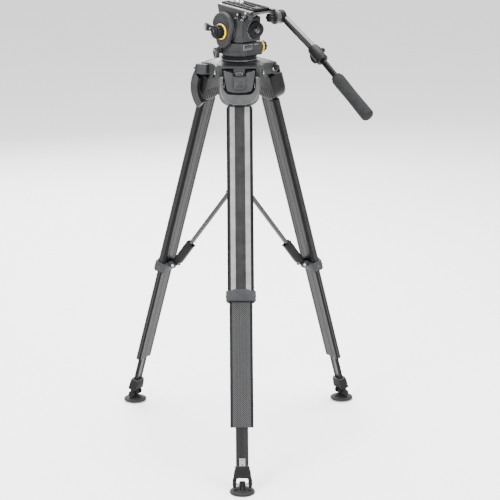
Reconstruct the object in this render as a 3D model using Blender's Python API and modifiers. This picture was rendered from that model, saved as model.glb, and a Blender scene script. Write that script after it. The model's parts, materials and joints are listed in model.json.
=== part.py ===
"""Broadcast tripod with a fluid head: three two-stage carbon legs, a mid-level spreader, rubber feet,
a 75 mm bowl, and a pan and tilt head with a sliding camera plate and a telescopic pan bar.
Metres, +Z up. The origin is on the floor, at the middle of the whole object's box."""

from math import cos, pi, radians, sin, tau

import bmesh
import bpy
from mathutils import Matrix, Vector

# Stance: the front leg stands wider and is drawn out further than the two rear legs.
HINGE_HEIGHT = 0.900
HINGE_RADIUS = 0.065
LEGS = {
    "front": {"azimuth": radians(-90), "splay": radians(25.1), "middle_out": 0.0352, "lower_out": 0.0253},
    "right": {"azimuth": radians(30), "splay": radians(15.65), "middle_out": 0.0, "lower_out": 0.0},
    "left": {"azimuth": radians(150), "splay": radians(15.65), "middle_out": 0.0, "lower_out": 0.0},
}

# Legs, in each leg's own frame: X across, -Y outwards, Z up along the leg, origin on the hinge.
LEG_MIDDLE_Y = -0.002
UPPER_SIZE = (0.062, 0.020)
UPPER_WALL = 0.0018
UPPER_TOP, UPPER_BOTTOM = -0.0868, -0.5355
MIDDLE_SIZE = (0.054, 0.0146)
MIDDLE_WALL = 0.0017
MIDDLE_TOP, MIDDLE_BOTTOM = -0.356, -0.808
LOWER_SIZE = (0.029, 0.0096)
LOWER_TOP, LOWER_BOTTOM = -0.5045, -0.8845
SLIDE_GAP = 0.0005
COLLAR_SIZE = (0.070, 0.030, 0.027)
COLLAR_Z = -0.5370
ANKLE_Z = -0.9125
ANKLE_RISE = 0.0192
PAD_RADIUS, PAD_THICKNESS = 0.029, 0.006
BARREL_RADIUS = 0.009
LUG_INSIDE, LUG_OUTSIDE = 0.0405, 0.0560
LEVER_PIVOT = (-0.0215, -0.0165)

# Spreader
HUB_HEIGHT = 0.590
HUB_PIVOT_RADIUS = 0.026
KNUCKLE = (0.0245, -0.5285)
ROD_SIDE = 0.0104
SLEEVE_SIZE = (0.0160, 0.0215)
SLEEVE_BORE = (0.0112, 0.0188)
SLEEVE_START, SLEEVE_END = 0.013, 0.076
ROD_ENTERS = 0.030
FRONT_ROD_SHORTER = 0.026  # leaves room for the rod when the front leg folds

# Crown and bowl
CROWN_BOTTOM, CROWN_TOP = 0.889, 0.9165
CROWN_REACH = 0.0765
BOWL_CENTRE_Z = 0.9245
BALL_RADIUS = 0.0375
RIM_TOP = 0.9205

# Head, in its own frame: X to the right of the operator, Y towards the lens, turned about the pan axis.
HEAD_YAW = radians(42)
TILT_HEIGHT = 0.994
TILT_REST = radians(5)
ROSETTE = (-0.078, 0.040)
PAN_BAR_DROP = radians(31.6)
TUBE_DROP = radians(36.8)
FIRST_TUBE = 0.1115
SOCKET_LENGTH = 0.055
TUBE_RADIUS, ROD_RADIUS, GRIP_RADIUS = 0.0095, 0.0075, 0.0155
CLAMP_LENGTH = 0.046
ROD_START, ROD_END = -0.036, 0.084  # along the bar, from the clamp's end
GRIP_START, GRIP_END = 0.058, 0.190

FIT = 0.0003  # air between neighbouring pieces


# ---------------------------------------------------------------- scene and materials

def clear_scene():
    for obj in list(bpy.data.objects):
        bpy.data.objects.remove(obj, do_unlink=True)


def new_collection(name):
    collection = bpy.data.collections.new(name)
    bpy.context.scene.collection.children.link(collection)
    return collection


def finish(name, colour, roughness, metallic=0.0):
    material = bpy.data.materials.new(name)
    material.use_nodes = True
    shader = material.node_tree.nodes["Principled BSDF"]
    shader.inputs["Base Color"].default_value = (*colour, 1.0)
    shader.inputs["Roughness"].default_value = roughness
    shader.inputs["Metallic"].default_value = metallic
    return material


clear_scene()
TRIPOD = new_collection("broadcast_tripod")
CUTTERS = new_collection("cutters")

CASTING = finish("grey_casting", (0.11, 0.115, 0.12), 0.55, 0.6)
LIGHT_CASTING = finish("light_grey_casting", (0.20, 0.215, 0.23), 0.45, 0.7)
BLACK_PLASTIC = finish("black_plastic", (0.012, 0.012, 0.013), 0.5)
CARBON = finish("carbon_fibre", (0.02, 0.02, 0.021), 0.3)
RUBBER = finish("black_rubber", (0.015, 0.015, 0.015), 0.85)
YELLOW = finish("yellow_ring", (0.9, 0.47, 0.005), 0.4)
STEEL = finish("bright_steel", (0.6, 0.6, 0.6), 0.25, 1.0)
FOAM = finish("foam_grip", (0.05, 0.05, 0.052), 0.9)
GLASS = finish("display_window", (0.01, 0.012, 0.015), 0.1)


# ---------------------------------------------------------------- shapes

def joint_frame(name, parent=None, location=(0, 0, 0), rotation=(0, 0, 0)):
    """An empty on a joint's axis, or at the root of a group of pieces."""
    empty = bpy.data.objects.new(name, None)
    TRIPOD.objects.link(empty)
    empty.parent = parent
    empty.location = location
    empty.rotation_euler = rotation
    return empty


def place(name, mesh, parent, location=(0, 0, 0), rotation=(0, 0, 0)):
    obj = bpy.data.objects.new(name, mesh)
    TRIPOD.objects.link(obj)
    obj.parent = parent
    obj.location = location
    obj.rotation_euler = rotation
    return obj


def mesh_from(builder, name):
    mesh = bpy.data.meshes.new(name)
    builder.to_mesh(mesh)
    builder.free()
    return mesh


def block(name, parent, size, centre, rotation=(0, 0, 0), round_along=None, radius=0.0, segments=2):
    """A box. With round_along, the four edges along that axis are rounded."""
    builder = bmesh.new()
    bmesh.ops.create_cube(builder, size=1.0)
    bmesh.ops.scale(builder, vec=size, verts=builder.verts)
    if round_along is not None:
        axis = "xyz".index(round_along)
        edges = [e for e in builder.edges if abs((e.verts[0].co - e.verts[1].co)[axis]) > size[axis] / 2]
        bmesh.ops.bevel(builder, geom=edges, offset=radius, segments=segments, affect="EDGES", profile=0.5)
    return place(name, mesh_from(builder, name), parent, centre, rotation)


def rod_shape(name, parent, radius, length, centre, along="z", sides=24, end_radius=None):
    """A cylinder or a cone along one axis; end_radius is the radius at its positive end."""
    builder = bmesh.new()
    end = radius if end_radius is None else end_radius
    bmesh.ops.create_cone(
        builder, cap_ends=True, segments=sides, radius1=radius, radius2=end, depth=length
    )
    turn = {"x": (0, pi / 2, 0), "y": (-pi / 2, 0, 0), "z": (0, 0, 0)}[along]
    obj = place(name, mesh_from(builder, name), parent, centre, turn)
    shade(obj)
    return obj


def shade(obj):
    obj.data.shade_smooth()
    obj.data.set_sharp_from_angle(angle=radians(35))


def turned(name, parent, profile, centre=(0, 0, 0), steps=32, rotation=(0, 0, 0)):
    """A profile of (radius, height) points, from top to bottom on its outer side, turned about Z."""
    builder = bmesh.new()
    verts = [builder.verts.new((radius, 0, height)) for radius, height in profile]
    for first, second in zip(verts, verts[1:]):
        builder.edges.new((first, second))
    if profile[0][0] > 0 or profile[-1][0] > 0:
        builder.edges.new((verts[-1], verts[0]))
    obj = place(name, mesh_from(builder, name), parent, centre, rotation)
    screw = obj.modifiers.new("turn", "SCREW")
    screw.steps = screw.render_steps = steps
    screw.use_merge_vertices = True
    screw.merge_threshold = 0.00005
    screw.use_smooth_shade = True
    return obj


def outline_plate(name, parent, points, thickness, centre=(0, 0, 0), rotation=(0, 0, 0)):
    """A flat outline in X and Y, thickened evenly on both sides of its plane."""
    curve = bpy.data.curves.new(name, "CURVE")
    curve.dimensions = "2D"
    curve.fill_mode = "BOTH"
    curve.extrude = thickness / 2
    spline = curve.splines.new("POLY")
    spline.points.add(len(points) - 1)
    for spot, (x, y) in zip(spline.points, points):
        spot.co = (x, y, 0, 1)
    spline.use_cyclic_u = True
    return meshed_curve(name, parent, curve, centre, rotation)


def bent_tube(name, parent, points, radius, centre=(0, 0, 0), rotation=(0, 0, 0)):
    curve = bpy.data.curves.new(name, "CURVE")
    curve.dimensions = "3D"
    curve.bevel_depth = radius
    curve.bevel_resolution = 4
    curve.use_fill_caps = True
    spline = curve.splines.new("POLY")
    spline.points.add(len(points) - 1)
    for spot, point in zip(spline.points, points):
        spot.co = (*point, 1)
    return meshed_curve(name, parent, curve, centre, rotation)


def meshed_curve(name, parent, curve, centre, rotation):
    """The curve as a welded mesh object, so that Booleans can use it."""
    guide = bpy.data.objects.new(name + "_guide", curve)
    CUTTERS.objects.link(guide)
    bpy.context.view_layer.update()
    graph = bpy.context.evaluated_depsgraph_get()
    mesh = bpy.data.meshes.new_from_object(guide.evaluated_get(graph))
    bpy.data.objects.remove(guide, do_unlink=True)
    builder = bmesh.new()
    builder.from_mesh(mesh)
    bmesh.ops.remove_doubles(builder, verts=builder.verts, dist=0.00001)
    bmesh.ops.recalc_face_normals(builder, faces=builder.faces)
    builder.to_mesh(mesh)
    builder.free()
    return place(name, mesh, parent, centre, rotation)


def combine(target, tool, operation):
    """Joins, cuts or intersects the target with the tool, and hides the tool."""
    boolean = target.modifiers.new(operation.lower(), "BOOLEAN")
    boolean.operation = operation
    boolean.object = tool
    boolean.solver = "EXACT"
    TRIPOD.objects.unlink(tool)
    CUTTERS.objects.link(tool)
    tool.hide_render = True
    tool.display_type = "WIRE"


def add(target, *tools):
    for tool in tools:
        combine(target, tool, "UNION")
    return target


def cut(target, *tools):
    for tool in tools:
        combine(target, tool, "DIFFERENCE")
    return target


def soften(obj, width, segments=1):
    """Rounds the sharp edges of a shape before any Boolean on it."""
    bevel = obj.modifiers.new("soften", "BEVEL")
    bevel.width = width
    bevel.segments = segments
    bevel.limit_method = "ANGLE"
    bevel.angle_limit = radians(40)
    return obj


def coat(obj, material):
    obj.data.materials.clear()
    obj.data.materials.append(material)
    return obj


def arc(centre, radius, start, end, steps):
    return [
        (centre[0] + radius * cos(a), centre[1] + radius * sin(a))
        for a in (start + (end - start) * i / steps for i in range(steps + 1))
    ]


def polar(radius, azimuth, height=0.0):
    return Vector((radius * cos(azimuth), radius * sin(azimuth), height))


# ---------------------------------------------------------------- crown and bowl

def crown(root):
    """Three-lobed casting: a spherical bowl in the middle and a forked hinge at each lobe."""
    corners = []
    for leg in sorted(LEGS.values(), key=lambda leg: leg["azimuth"]):
        for side in (-LUG_OUTSIDE, LUG_OUTSIDE):
            spot = Matrix.Rotation(leg["azimuth"], 3, "Z") @ Vector((CROWN_REACH, side, 0))
            corners.append((spot.x, spot.y))
    height = CROWN_TOP - CROWN_BOTTOM
    body = outline_plate("crown", root, corners, height, (0, 0, CROWN_BOTTOM + height / 2))
    cup_top, cup_bottom = 0.9190, 0.8795
    cup = rod_shape("bowl_cup", root, 0.0438, cup_top - cup_bottom, (0, 0, (cup_top + cup_bottom) / 2),
                    sides=48)
    skirt = rod_shape("bowl_slope", root, 0.0620, RIM_TOP - 0.9130, (0, 0, (RIM_TOP + 0.9130) / 2),
                      sides=48, end_radius=0.0452)
    add(body, cup, skirt)
    for name, leg in LEGS.items():
        turn = (0, 0, leg["azimuth"])
        middle = polar(0.0795, leg["azimuth"], 0.8950)
        notch = block(f"notch_{name}", root, (0.067, 2 * LUG_INSIDE, 0.0325), middle, turn)
        axle = rod_shape(f"axle_hole_{name}", root, 0.0043, 0.1074, polar(HINGE_RADIUS, leg["azimuth"],
                         HINGE_HEIGHT), sides=16)
        axle.rotation_euler = (pi / 2, 0, leg["azimuth"])
        cut(body, notch, axle)
    seat = turned("bowl_seat", root, ball_profile(BALL_RADIUS + 0.0005, 0.020, 0.050), (0, 0, BOWL_CENTRE_Z),
                  steps=28)
    cut(body, seat)
    return coat(body, CASTING)


def ball_profile(radius, neck, below):
    """Half ball with its flat at height 0, and a plain neck that runs down below it."""
    start = 0.01
    angle = [i * (pi / 2) / 10 for i in range(11)]
    ball = [(radius * cos(a), -radius * sin(a)) for a in angle if radius * cos(a) > neck]
    return [(0, start), (radius, start), *ball, (neck, ball[-1][1] - 0.001), (neck, -below), (0, -below)]


def half_ball(root):
    """Flange, 75 mm half ball and the draw bolt below it, all one piece under the head."""
    angle = [i * (pi / 2) / 10 for i in range(11)]
    ball = [(BALL_RADIUS * cos(a), -BALL_RADIUS * sin(a)) for a in angle if BALL_RADIUS * cos(a) > 0.018]
    profile = [(0, 0.0085), (0.0425, 0.0085), (0.0437, 0.0070), (0.0437, 0.0012), (0.0425, 0)]
    profile += ball + [(0.0180, -0.0316), (0.0050, -0.0316), (0.0050, -0.1180), (0, -0.1180)]
    return coat(turned("half_ball", root, profile, (0, 0, BOWL_CENTRE_Z), steps=28), CASTING)


def tie_down_knob(root):
    frame = joint_frame("tie_down_axis", root, (0, 0, 0.800))
    profile = [(0.0055, 0.0785), (0.0300, 0.0785), (0.0300, 0.0740), (0.0130, 0.0660), (0.0120, 0.0480),
               (0.0215, 0.0440), (0.0240, 0.0380), (0.0225, 0.0060), (0.0190, 0.0000), (0.0055, 0.0000)]
    knob = turned("tie_down_knob", frame, profile, steps=24)
    return coat(knob, BLACK_PLASTIC)


def carry_handle(root):
    """Curved grip that hangs from the crown beside the left leg."""
    azimuth = LEGS["left"]["azimuth"]
    outer = arc((0.0180, -0.0420), 0.0760, radians(33), radians(-42), 10)
    inner = arc((0.0120, -0.0420), 0.0620, radians(-36), radians(20), 9)
    outline = [(0.0775, 0.0150), (0.0810, 0.0080)] + outer + inner + [(0.0775, -0.0116)]
    handle = outline_plate("carry_handle", root, outline, 0.0150)
    handle.location = Vector((0, 0, HINGE_HEIGHT)) + Matrix.Rotation(azimuth, 3, "Z") @ Vector((0, 0.0640, 0))
    handle.rotation_euler = (pi / 2, 0, azimuth)
    return coat(handle, CASTING)


def angle_catch(name, leg, root):
    """Spring tongue between the forks, which sets how far the leg opens."""
    frame = joint_frame(f"angle_catch_axis_{name}", root, polar(0.0730, leg["azimuth"], 0.9075))
    frame.rotation_euler = (0, 0, leg["azimuth"] + pi / 2)
    tongue = block(f"angle_catch_{name}", frame, (0.028, 0.0075, 0.0215), (0, -0.0005, -0.0078),
                   round_along="y", radius=0.002, segments=1)
    return coat(tongue, CASTING)


# ---------------------------------------------------------------- legs

def leg_head(name, frame):
    """Casting at the top of the leg: hinge barrels, a forked yoke for the brake lever, and a plug."""
    outer = [(0.0485, -0.0165), (0.0485, -0.0480)]
    outer += arc((0.0175, -0.0510), 0.0310, radians(-2), radians(-62), 5)
    outer += [(0.0150, -0.0862)]
    outline = outer + [(-x, z) for x, z in reversed(outer)]
    yoke = outline_plate(f"leg_head_{name}", frame, outline, 0.0365, (0, -0.0078, 0), (pi / 2, 0, 0))
    inner = [(0.0388, 0.0), (0.0385, -0.0400), (0.0330, -0.0545), (0.0180, -0.0605), (0.0, -0.0620)]
    inner += [(-x, z) for x, z in reversed(inner[:-1])]
    recess = outline_plate(f"lever_recess_{name}", frame, inner, 0.0200, (0, -0.0246, 0), (pi / 2, 0, 0))
    step = block(f"yoke_step_{name}", frame, (0.0776, 0.050, 0.0300), (0, -0.0079, -0.0085))
    cut(yoke, recess, step)
    for side in (-1, 1):
        neck = block(f"neck_{name}_{side}", frame, (0.0215, 0.0140, 0.0280), (side * 0.0286, 0.0025, -0.0140))
        barrel = rod_shape(f"barrel_{name}_{side}", frame, BARREL_RADIUS, 0.0215, (side * 0.0286, 0, 0),
                           "x", 14)
        trunnion = rod_shape(f"trunnion_{name}_{side}", frame, 0.0040, 0.0200, (side * 0.0430, 0, 0), "x", 10)
        add(yoke, neck, barrel, trunnion)
    inside = [size - 2 * (UPPER_WALL + FIT) for size in UPPER_SIZE]
    plug = block(f"plug_{name}", frame, (inside[0], inside[1], 0.0300), (0, LEG_MIDDLE_Y, -0.0990))
    add(yoke, plug)
    pin_hole = rod_shape(f"lever_hole_{name}", frame, 0.0026, 0.0900, (0, *LEVER_PIVOT), "x", 12)
    cut(yoke, pin_hole)
    return coat(yoke, LIGHT_CASTING)


def brake_lever(name, frame):
    """Shield-shaped lever that frees both stages of its leg, on a cross pin near its top."""
    axis = joint_frame(f"brake_lever_axis_{name}", frame, (0, *LEVER_PIVOT))
    lift = -LEVER_PIVOT[1]
    half = [(0.0000, -0.0190), (0.0152, -0.0185), (0.0156, -0.0070), (0.0260, -0.0062), (0.0376, -0.0015),
            (0.0360, -0.0200), (0.0325, -0.0400), (0.0275, -0.0530), (0.0120, -0.0570)]
    outline = [(x, z + lift) for x, z in half]
    outline += [(-x, z) for x, z in reversed(outline[1:])]
    lever = outline_plate(f"brake_lever_{name}", axis, outline, 0.0120, (0, -0.0002, 0), (pi / 2, 0, 0))
    pin = rod_shape(f"lever_pin_{name}", axis, 0.0022, 0.0860, (0, 0, 0), "x", 12)
    add(lever, pin)
    return coat(lever, CASTING)


def hollow(name, parent, size, wall, top, bottom):
    """Rectangular tube open at both ends."""
    length = top - bottom
    middle = (0, LEG_MIDDLE_Y, (top + bottom) / 2)
    tube = block(name, parent, (*size, length), middle, round_along="z", radius=min(size) * 0.28)
    bore = block(name + "_bore", parent, (size[0] - 2 * wall, size[1] - 2 * wall, length + 0.002), middle)
    return cut(tube, bore)


def leg_upper(name, frame):
    return coat(hollow(f"leg_upper_{name}", frame, UPPER_SIZE, UPPER_WALL, UPPER_TOP, UPPER_BOTTOM), CARBON)


def leg_collar(name, frame):
    """Collar on the upper tube's lower end, with the spreader's knuckle on its inner side."""
    width, depth, height = COLLAR_SIZE
    middle = (0, LEG_MIDDLE_Y, COLLAR_Z)
    collar = block(f"leg_collar_{name}", frame, COLLAR_SIZE, middle, round_along="z", radius=0.007)
    for side in (-1, 1):
        ear = block(f"ear_{name}_{side}", frame, (0.0045, 0.0210, 0.0150),
                    (side * 0.0112, 0.0215, KNUCKLE[1]))
        add(collar, ear)
    pocket_size = [size + 2 * FIT for size in UPPER_SIZE]
    pocket = block(f"pocket_{name}", frame, (*pocket_size, 0.0160), (0, LEG_MIDDLE_Y, UPPER_BOTTOM + 0.0077))
    slot_size = [size + 2 * SLIDE_GAP for size in MIDDLE_SIZE]
    slot = block(f"collar_slot_{name}", frame, (*slot_size, 0.0600), middle)
    pin_hole = rod_shape(f"knuckle_hole_{name}", frame, 0.0028, 0.0400, (0, *KNUCKLE), "x", 12)
    cut(collar, pocket, slot, pin_hole)
    return coat(collar, CASTING)


def leg_middle(name, frame):
    """Middle stage: a tube with a guide at its lower end for the lower stage."""
    length = MIDDLE_TOP - MIDDLE_BOTTOM
    middle = (0, LEG_MIDDLE_Y, (MIDDLE_TOP + MIDDLE_BOTTOM) / 2)
    tube = block(f"leg_middle_{name}", frame, (*MIDDLE_SIZE, length), middle, round_along="z", radius=0.0038)
    guide = 0.022
    bore_size = [size - 2 * MIDDLE_WALL for size in MIDDLE_SIZE]
    bore = block(f"middle_bore_{name}", frame, (*bore_size, length), (0, LEG_MIDDLE_Y, middle[2] + guide))
    slot_size = [size + 2 * SLIDE_GAP for size in LOWER_SIZE]
    slot = block(f"middle_slot_{name}", frame, (*slot_size, 0.080), (0, LEG_MIDDLE_Y, MIDDLE_BOTTOM))
    cut(tube, bore, slot)
    return coat(tube, CARBON)


def leg_lower(name, frame):
    """Lower stage: a flat bar that ends in the ankle."""
    length = LOWER_TOP - LOWER_BOTTOM
    middle = (0, LEG_MIDDLE_Y, (LOWER_TOP + LOWER_BOTTOM) / 2)
    bar = block(f"leg_lower_{name}", frame, (*LOWER_SIZE, length), middle, round_along="z", radius=0.0022)
    return coat(bar, CARBON)


def foot_ankle(name, frame):
    """Rubber yoke on the lower stage: two arms that hold the cross pin the pad turns on."""
    top, bottom = LOWER_BOTTOM + 0.012, ANKLE_Z + 0.0105
    body = block(f"foot_ankle_{name}", frame, (0.037, 0.0215, top - bottom),
                 (0, LEG_MIDDLE_Y, (top + bottom) / 2), round_along="z", radius=0.006)
    for side in (-1, 1):
        arm = block(f"ankle_arm_{name}_{side}", frame, (0.0055, 0.0150, 0.0200),
                    (side * 0.0175, 0, ANKLE_Z + 0.0100))
        knuckle = rod_shape(f"ankle_knuckle_{name}_{side}", frame, 0.0085, 0.0055,
                            (side * 0.0175, 0, ANKLE_Z), "x", 20)
        add(body, arm, knuckle)
    add(body, rod_shape(f"ankle_pin_{name}", frame, 0.0028, 0.0380, (0, 0, ANKLE_Z), "x", 12))
    pocket_size = [size + 2 * FIT for size in LOWER_SIZE]
    pocket = block(f"ankle_pocket_{name}", frame, (*pocket_size, 0.0250),
                   (0, LEG_MIDDLE_Y, LOWER_BOTTOM + 0.0122))
    cut(body, pocket)
    return coat(body, RUBBER)


def foot_pad(name, frame, splay):
    """Round rubber pad, flat on the floor, with one post round the ankle's cross pin."""
    axis = joint_frame(f"ankle_axis_{name}", frame, (0, 0, ANKLE_Z), (splay, 0, 0))
    floor = -ANKLE_RISE
    profile = [(0, floor + 0.0075), (0.0190, floor + 0.0075), (0.0265, floor + PAD_THICKNESS),
               (PAD_RADIUS, floor + 0.0035), (PAD_RADIUS, floor + 0.0010), (0.0280, floor), (0, floor)]
    pad = turned(f"foot_pad_{name}", axis, profile, steps=20)
    post = block(f"pad_post_{name}", axis, (0.0150, 0.0150, 0.0150), (0, 0, -0.0075))
    eye = rod_shape(f"pad_eye_{name}", axis, 0.0078, 0.0150, (0, 0, 0), "x", 20)
    add(pad, post, eye)
    cut(pad, rod_shape(f"pad_hole_{name}", axis, 0.0032, 0.0400, (0, 0, 0), "x", 12))
    return coat(pad, RUBBER)


def tripod_leg(name, leg, root):
    place_on_crown = polar(HINGE_RADIUS, leg["azimuth"], HINGE_HEIGHT)
    hinge_turn = (-leg["splay"], 0, leg["azimuth"] + pi / 2)
    frame = joint_frame(f"leg_hinge_{name}", root, place_on_crown, hinge_turn)
    leg_head(name, frame)
    brake_lever(name, frame)
    leg_upper(name, frame)
    leg_collar(name, frame)
    middle = joint_frame(f"middle_slide_{name}", frame, (0, 0, -leg["middle_out"]))
    leg_middle(name, middle)
    lower = joint_frame(f"lower_slide_{name}", middle, (0, 0, -leg["lower_out"]))
    leg_lower(name, lower)
    foot_ankle(name, lower)
    foot_pad(name, lower, leg["splay"])
    angle_catch(name, leg, root)
    return frame


# ---------------------------------------------------------------- spreader

def knuckle_place(leg):
    """Where a leg's spreader pivot is: its distance from the middle axis, and its height."""
    y, z = KNUCKLE
    radius = HINGE_RADIUS - z * sin(leg["splay"]) - y * cos(leg["splay"])
    height = HINGE_HEIGHT + z * cos(leg["splay"]) - y * sin(leg["splay"])
    return radius, height


def spreader_hub(root):
    frame = joint_frame("hub_slide", root, (0, 0, HUB_HEIGHT))
    profile = [(0, 0.0120), (0.0130, 0.0120), (0.0165, 0.0090), (0.0165, -0.0090), (0.0130, -0.0120),
               (0, -0.0120)]
    hub = turned("spreader_hub", frame, profile, steps=24)
    for leg in LEGS.values():
        for side in (-1, 1):
            spot = Matrix.Rotation(leg["azimuth"], 3, "Z") @ Vector((0.0220, side * 0.0082, 0))
            ear = block("hub_ear", frame, (0.0210, 0.0040, 0.0130), spot, (0, 0, leg["azimuth"]))
            add(hub, ear)
    for leg in LEGS.values():
        hole = rod_shape("hub_hole", frame, 0.0025, 0.0240, polar(HUB_PIVOT_RADIUS, leg["azimuth"]), sides=12)
        hole.rotation_euler = (pi / 2, 0, leg["azimuth"])
        cut(hub, hole)
    coat(hub, BLACK_PLASTIC)
    return frame


def spreader_arm(name, leg, hub_frame, leg_frame):
    """An inner rod on the hub and an outer sleeve on the leg's collar, which telescope."""
    radius, height = knuckle_place(leg)
    run, rise = radius - HUB_PIVOT_RADIUS, HUB_HEIGHT - height
    length = (run**2 + rise**2) ** 0.5
    slope = Vector((run, rise)).angle_signed(Vector((1, 0)))
    rod_frame = joint_frame(f"rod_axis_{name}", hub_frame, polar(HUB_PIVOT_RADIUS, leg["azimuth"]))
    rod_frame.rotation_euler = (slope, 0, leg["azimuth"] + pi / 2)
    rod_length = length - ROD_ENTERS - (FRONT_ROD_SHORTER if name == "front" else 0.0)
    rod = block(f"spreader_rod_{name}", rod_frame, (ROD_SIDE, rod_length - 0.004, ROD_SIDE),
                (0, -(rod_length + 0.004) / 2, 0), round_along="y", radius=0.0015, segments=1)
    eye = rod_shape(f"rod_eye_{name}", rod_frame, 0.0058, ROD_SIDE, (0, 0, 0), "x", 16)
    pin = rod_shape(f"rod_pin_{name}", rod_frame, 0.0021, 0.0220, (0, 0, 0), "x", 12)
    coat(add(rod, eye, pin), BLACK_PLASTIC)
    sleeve_frame = joint_frame(f"sleeve_axis_{name}", leg_frame, (0, *KNUCKLE))
    sleeve_frame.rotation_euler = (slope + leg["splay"], 0, 0)
    sleeve_length = SLEEVE_END - SLEEVE_START
    sleeve = block(f"spreader_sleeve_{name}", sleeve_frame, (SLEEVE_SIZE[0], sleeve_length, SLEEVE_SIZE[1]),
                   (0, SLEEVE_START + sleeve_length / 2, 0), round_along="y", radius=0.003)
    tail = block(f"sleeve_tail_{name}", sleeve_frame, (0.0160, 0.0170, 0.0110), (0, 0.0075, 0))
    tip = rod_shape(f"sleeve_tip_{name}", sleeve_frame, 0.0055, 0.0160, (0, 0, 0), "x", 16)
    pin_2 = rod_shape(f"sleeve_pin_{name}", sleeve_frame, 0.0024, 0.0290, (0, 0, 0), "x", 12)
    add(sleeve, tail, tip, pin_2)
    bore = block(f"sleeve_bore_{name}", sleeve_frame, (SLEEVE_BORE[0], SLEEVE_END - 0.018, SLEEVE_BORE[1]),
                 (0, 0.020 + (SLEEVE_END - 0.018) / 2, 0))
    coat(cut(sleeve, bore), CASTING)


# ---------------------------------------------------------------- head: pan stage

def pan_base(pan):
    """Lower housing with the pan drag, its brake and the display."""
    bottom, top = 0.9335, 0.9655
    middle = (bottom + top) / 2
    base = rod_shape("pan_base", pan, 0.0414, top - bottom, (0, 0, middle), sides=48)
    rear = block("base_rear", pan, (0.0700, 0.0440, top - bottom), (0.0080, -0.0200, middle),
                 round_along="z", radius=0.006)
    drag_boss = rod_shape("drag_boss", pan, 0.0150, 0.0300, (0.0290, -0.0250, 0.9505), "x", 24)
    brake_boss = rod_shape("brake_boss", pan, 0.0085, 0.0200, (-0.0370, 0.0230, 0.9460), "x", 16)
    return coat(add(base, rear, drag_boss, brake_boss), CASTING)


def drag_knob(prefix, parent, axis_place, side, sizes):
    """Drag knob with its coloured ring; side is +1 or -1 along X, sizes from the housing outwards."""
    ring_radius, ring_width, knob_radius, knob_length = sizes
    frame = joint_frame(f"{prefix}_drag_axis", parent, axis_place)
    ring_centre = (side * ring_width / 2, 0, 0)
    ring = rod_shape(f"{prefix}_drag_ring", frame, ring_radius, ring_width, ring_centre, "x", 40)
    centre = side * (ring_width + FIT + knob_length / 2)
    ends = (knob_radius, knob_radius * 0.9) if side > 0 else (knob_radius * 0.9, knob_radius)
    knob = rod_shape(f"{prefix}_drag_knob", frame, ends[0], knob_length, (centre, 0, 0), "x", 32, ends[1])
    coat(ring, YELLOW)
    coat(knob, BLACK_PLASTIC)


def pan_brake_lever(pan):
    frame = joint_frame("pan_brake_axis", pan, (-0.0473, 0.0230, 0.9460))
    outline = [(0.0060, 0.0065), (-0.0060, 0.0065), (-0.0085, -0.0040), (-0.0080, -0.0170), (0.0050, -0.0190),
               (0.0095, -0.0050)]
    lever = outline_plate("pan_brake_lever", frame, outline, 0.0090, (-0.0045, 0.0, 0), (pi / 2, 0, pi / 2))
    return coat(soften(lever, 0.002), CASTING)


def head_body(pan):
    """Tilt housing, rounded within the sweep of the platform, with the tilt shaft through its left side."""
    plan = [(-0.0348, 0.0300), (-0.0348, -0.0220), (-0.0290, -0.0345), (-0.0180, -0.0400), (0.0360, -0.0400),
            (0.0360, 0.0300), (0.0260, 0.0360), (-0.0250, 0.0360)]
    body = outline_plate("head_body", pan, plan, 0.0570, (0, 0, 0.9970))
    sweep = rod_shape("platform_sweep", pan, 0.0495, 0.0720, (0.0006, 0, TILT_HEIGHT), "x", 48)
    combine(body, sweep, "INTERSECT")
    shaft = rod_shape("tilt_shaft", pan, 0.0120, 0.0848, (0.0006, 0, TILT_HEIGHT), "x", 24)
    foot = block("body_foot", pan, (0.0600, 0.0560, 0.0100), (0, 0, 0.9710))
    add(body, shaft, foot)
    return coat(body, CASTING)


def side_cover(pan):
    """Egg-shaped cover on the left, over the tilt drag."""
    outline = arc((0.0, 0.0125), 0.0335, radians(10), radians(170), 12)
    outline += arc((0.0, -0.0200), 0.0205, radians(205), radians(335), 8)
    cover = outline_plate("side_cover", pan, outline, 0.0150, (-0.0494, 0, TILT_HEIGHT), (pi / 2, 0, pi / 2))
    soften(cover, 0.003)
    socket = rod_shape("shaft_socket", pan, 0.0123, 0.0060, (-0.0402, 0, TILT_HEIGHT), "x", 24)
    return coat(cut(cover, socket), CASTING)


def tilt_brake_lever(pan):
    frame = joint_frame("tilt_brake_axis", pan, (-0.0572, 0.0300, 0.9990))
    outline = [(-0.0060, 0.0060), (0.0060, 0.0085), (0.0200, 0.0120), (0.0230, 0.0040), (0.0190, -0.0080),
               (0.0040, -0.0070), (-0.0060, -0.0050)]
    lever = outline_plate("tilt_brake_lever", frame, outline, 0.0080, (-0.0040, 0, 0), (pi / 2, 0, pi / 2))
    return coat(soften(lever, 0.002), BLACK_PLASTIC)


def balance_knob(pan):
    """Counterbalance knob on the rear face: a disc with two pointed wings and a domed middle."""
    frame = joint_frame("balance_axis", pan, (0.0155, -0.0403, 0.9950), (pi / 2, 0, 0))
    disc = rod_shape("balance_knob", frame, 0.0200, 0.0060, (0, 0, 0.0030), "z", 32)
    wings = outline_plate("balance_wings", frame, [(0, 0.0245), (0.0120, 0), (0, -0.0245), (-0.0120, 0)],
                          0.0060, (0, 0, 0.0032))
    dome = rod_shape("balance_dome", frame, 0.0085, 0.0060, (0, 0, 0.0085), "z", 24, 0.0055)
    return coat(add(disc, wings, dome), BLACK_PLASTIC)


def level_window(pan):
    window = block("level_window", pan, (0.0230, 0.0040, 0.0090), (-0.0100, -0.0456, 0.9560), round_along="y",
                   radius=0.002)
    return coat(window, GLASS)


# ---------------------------------------------------------------- head: tilting platform

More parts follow.
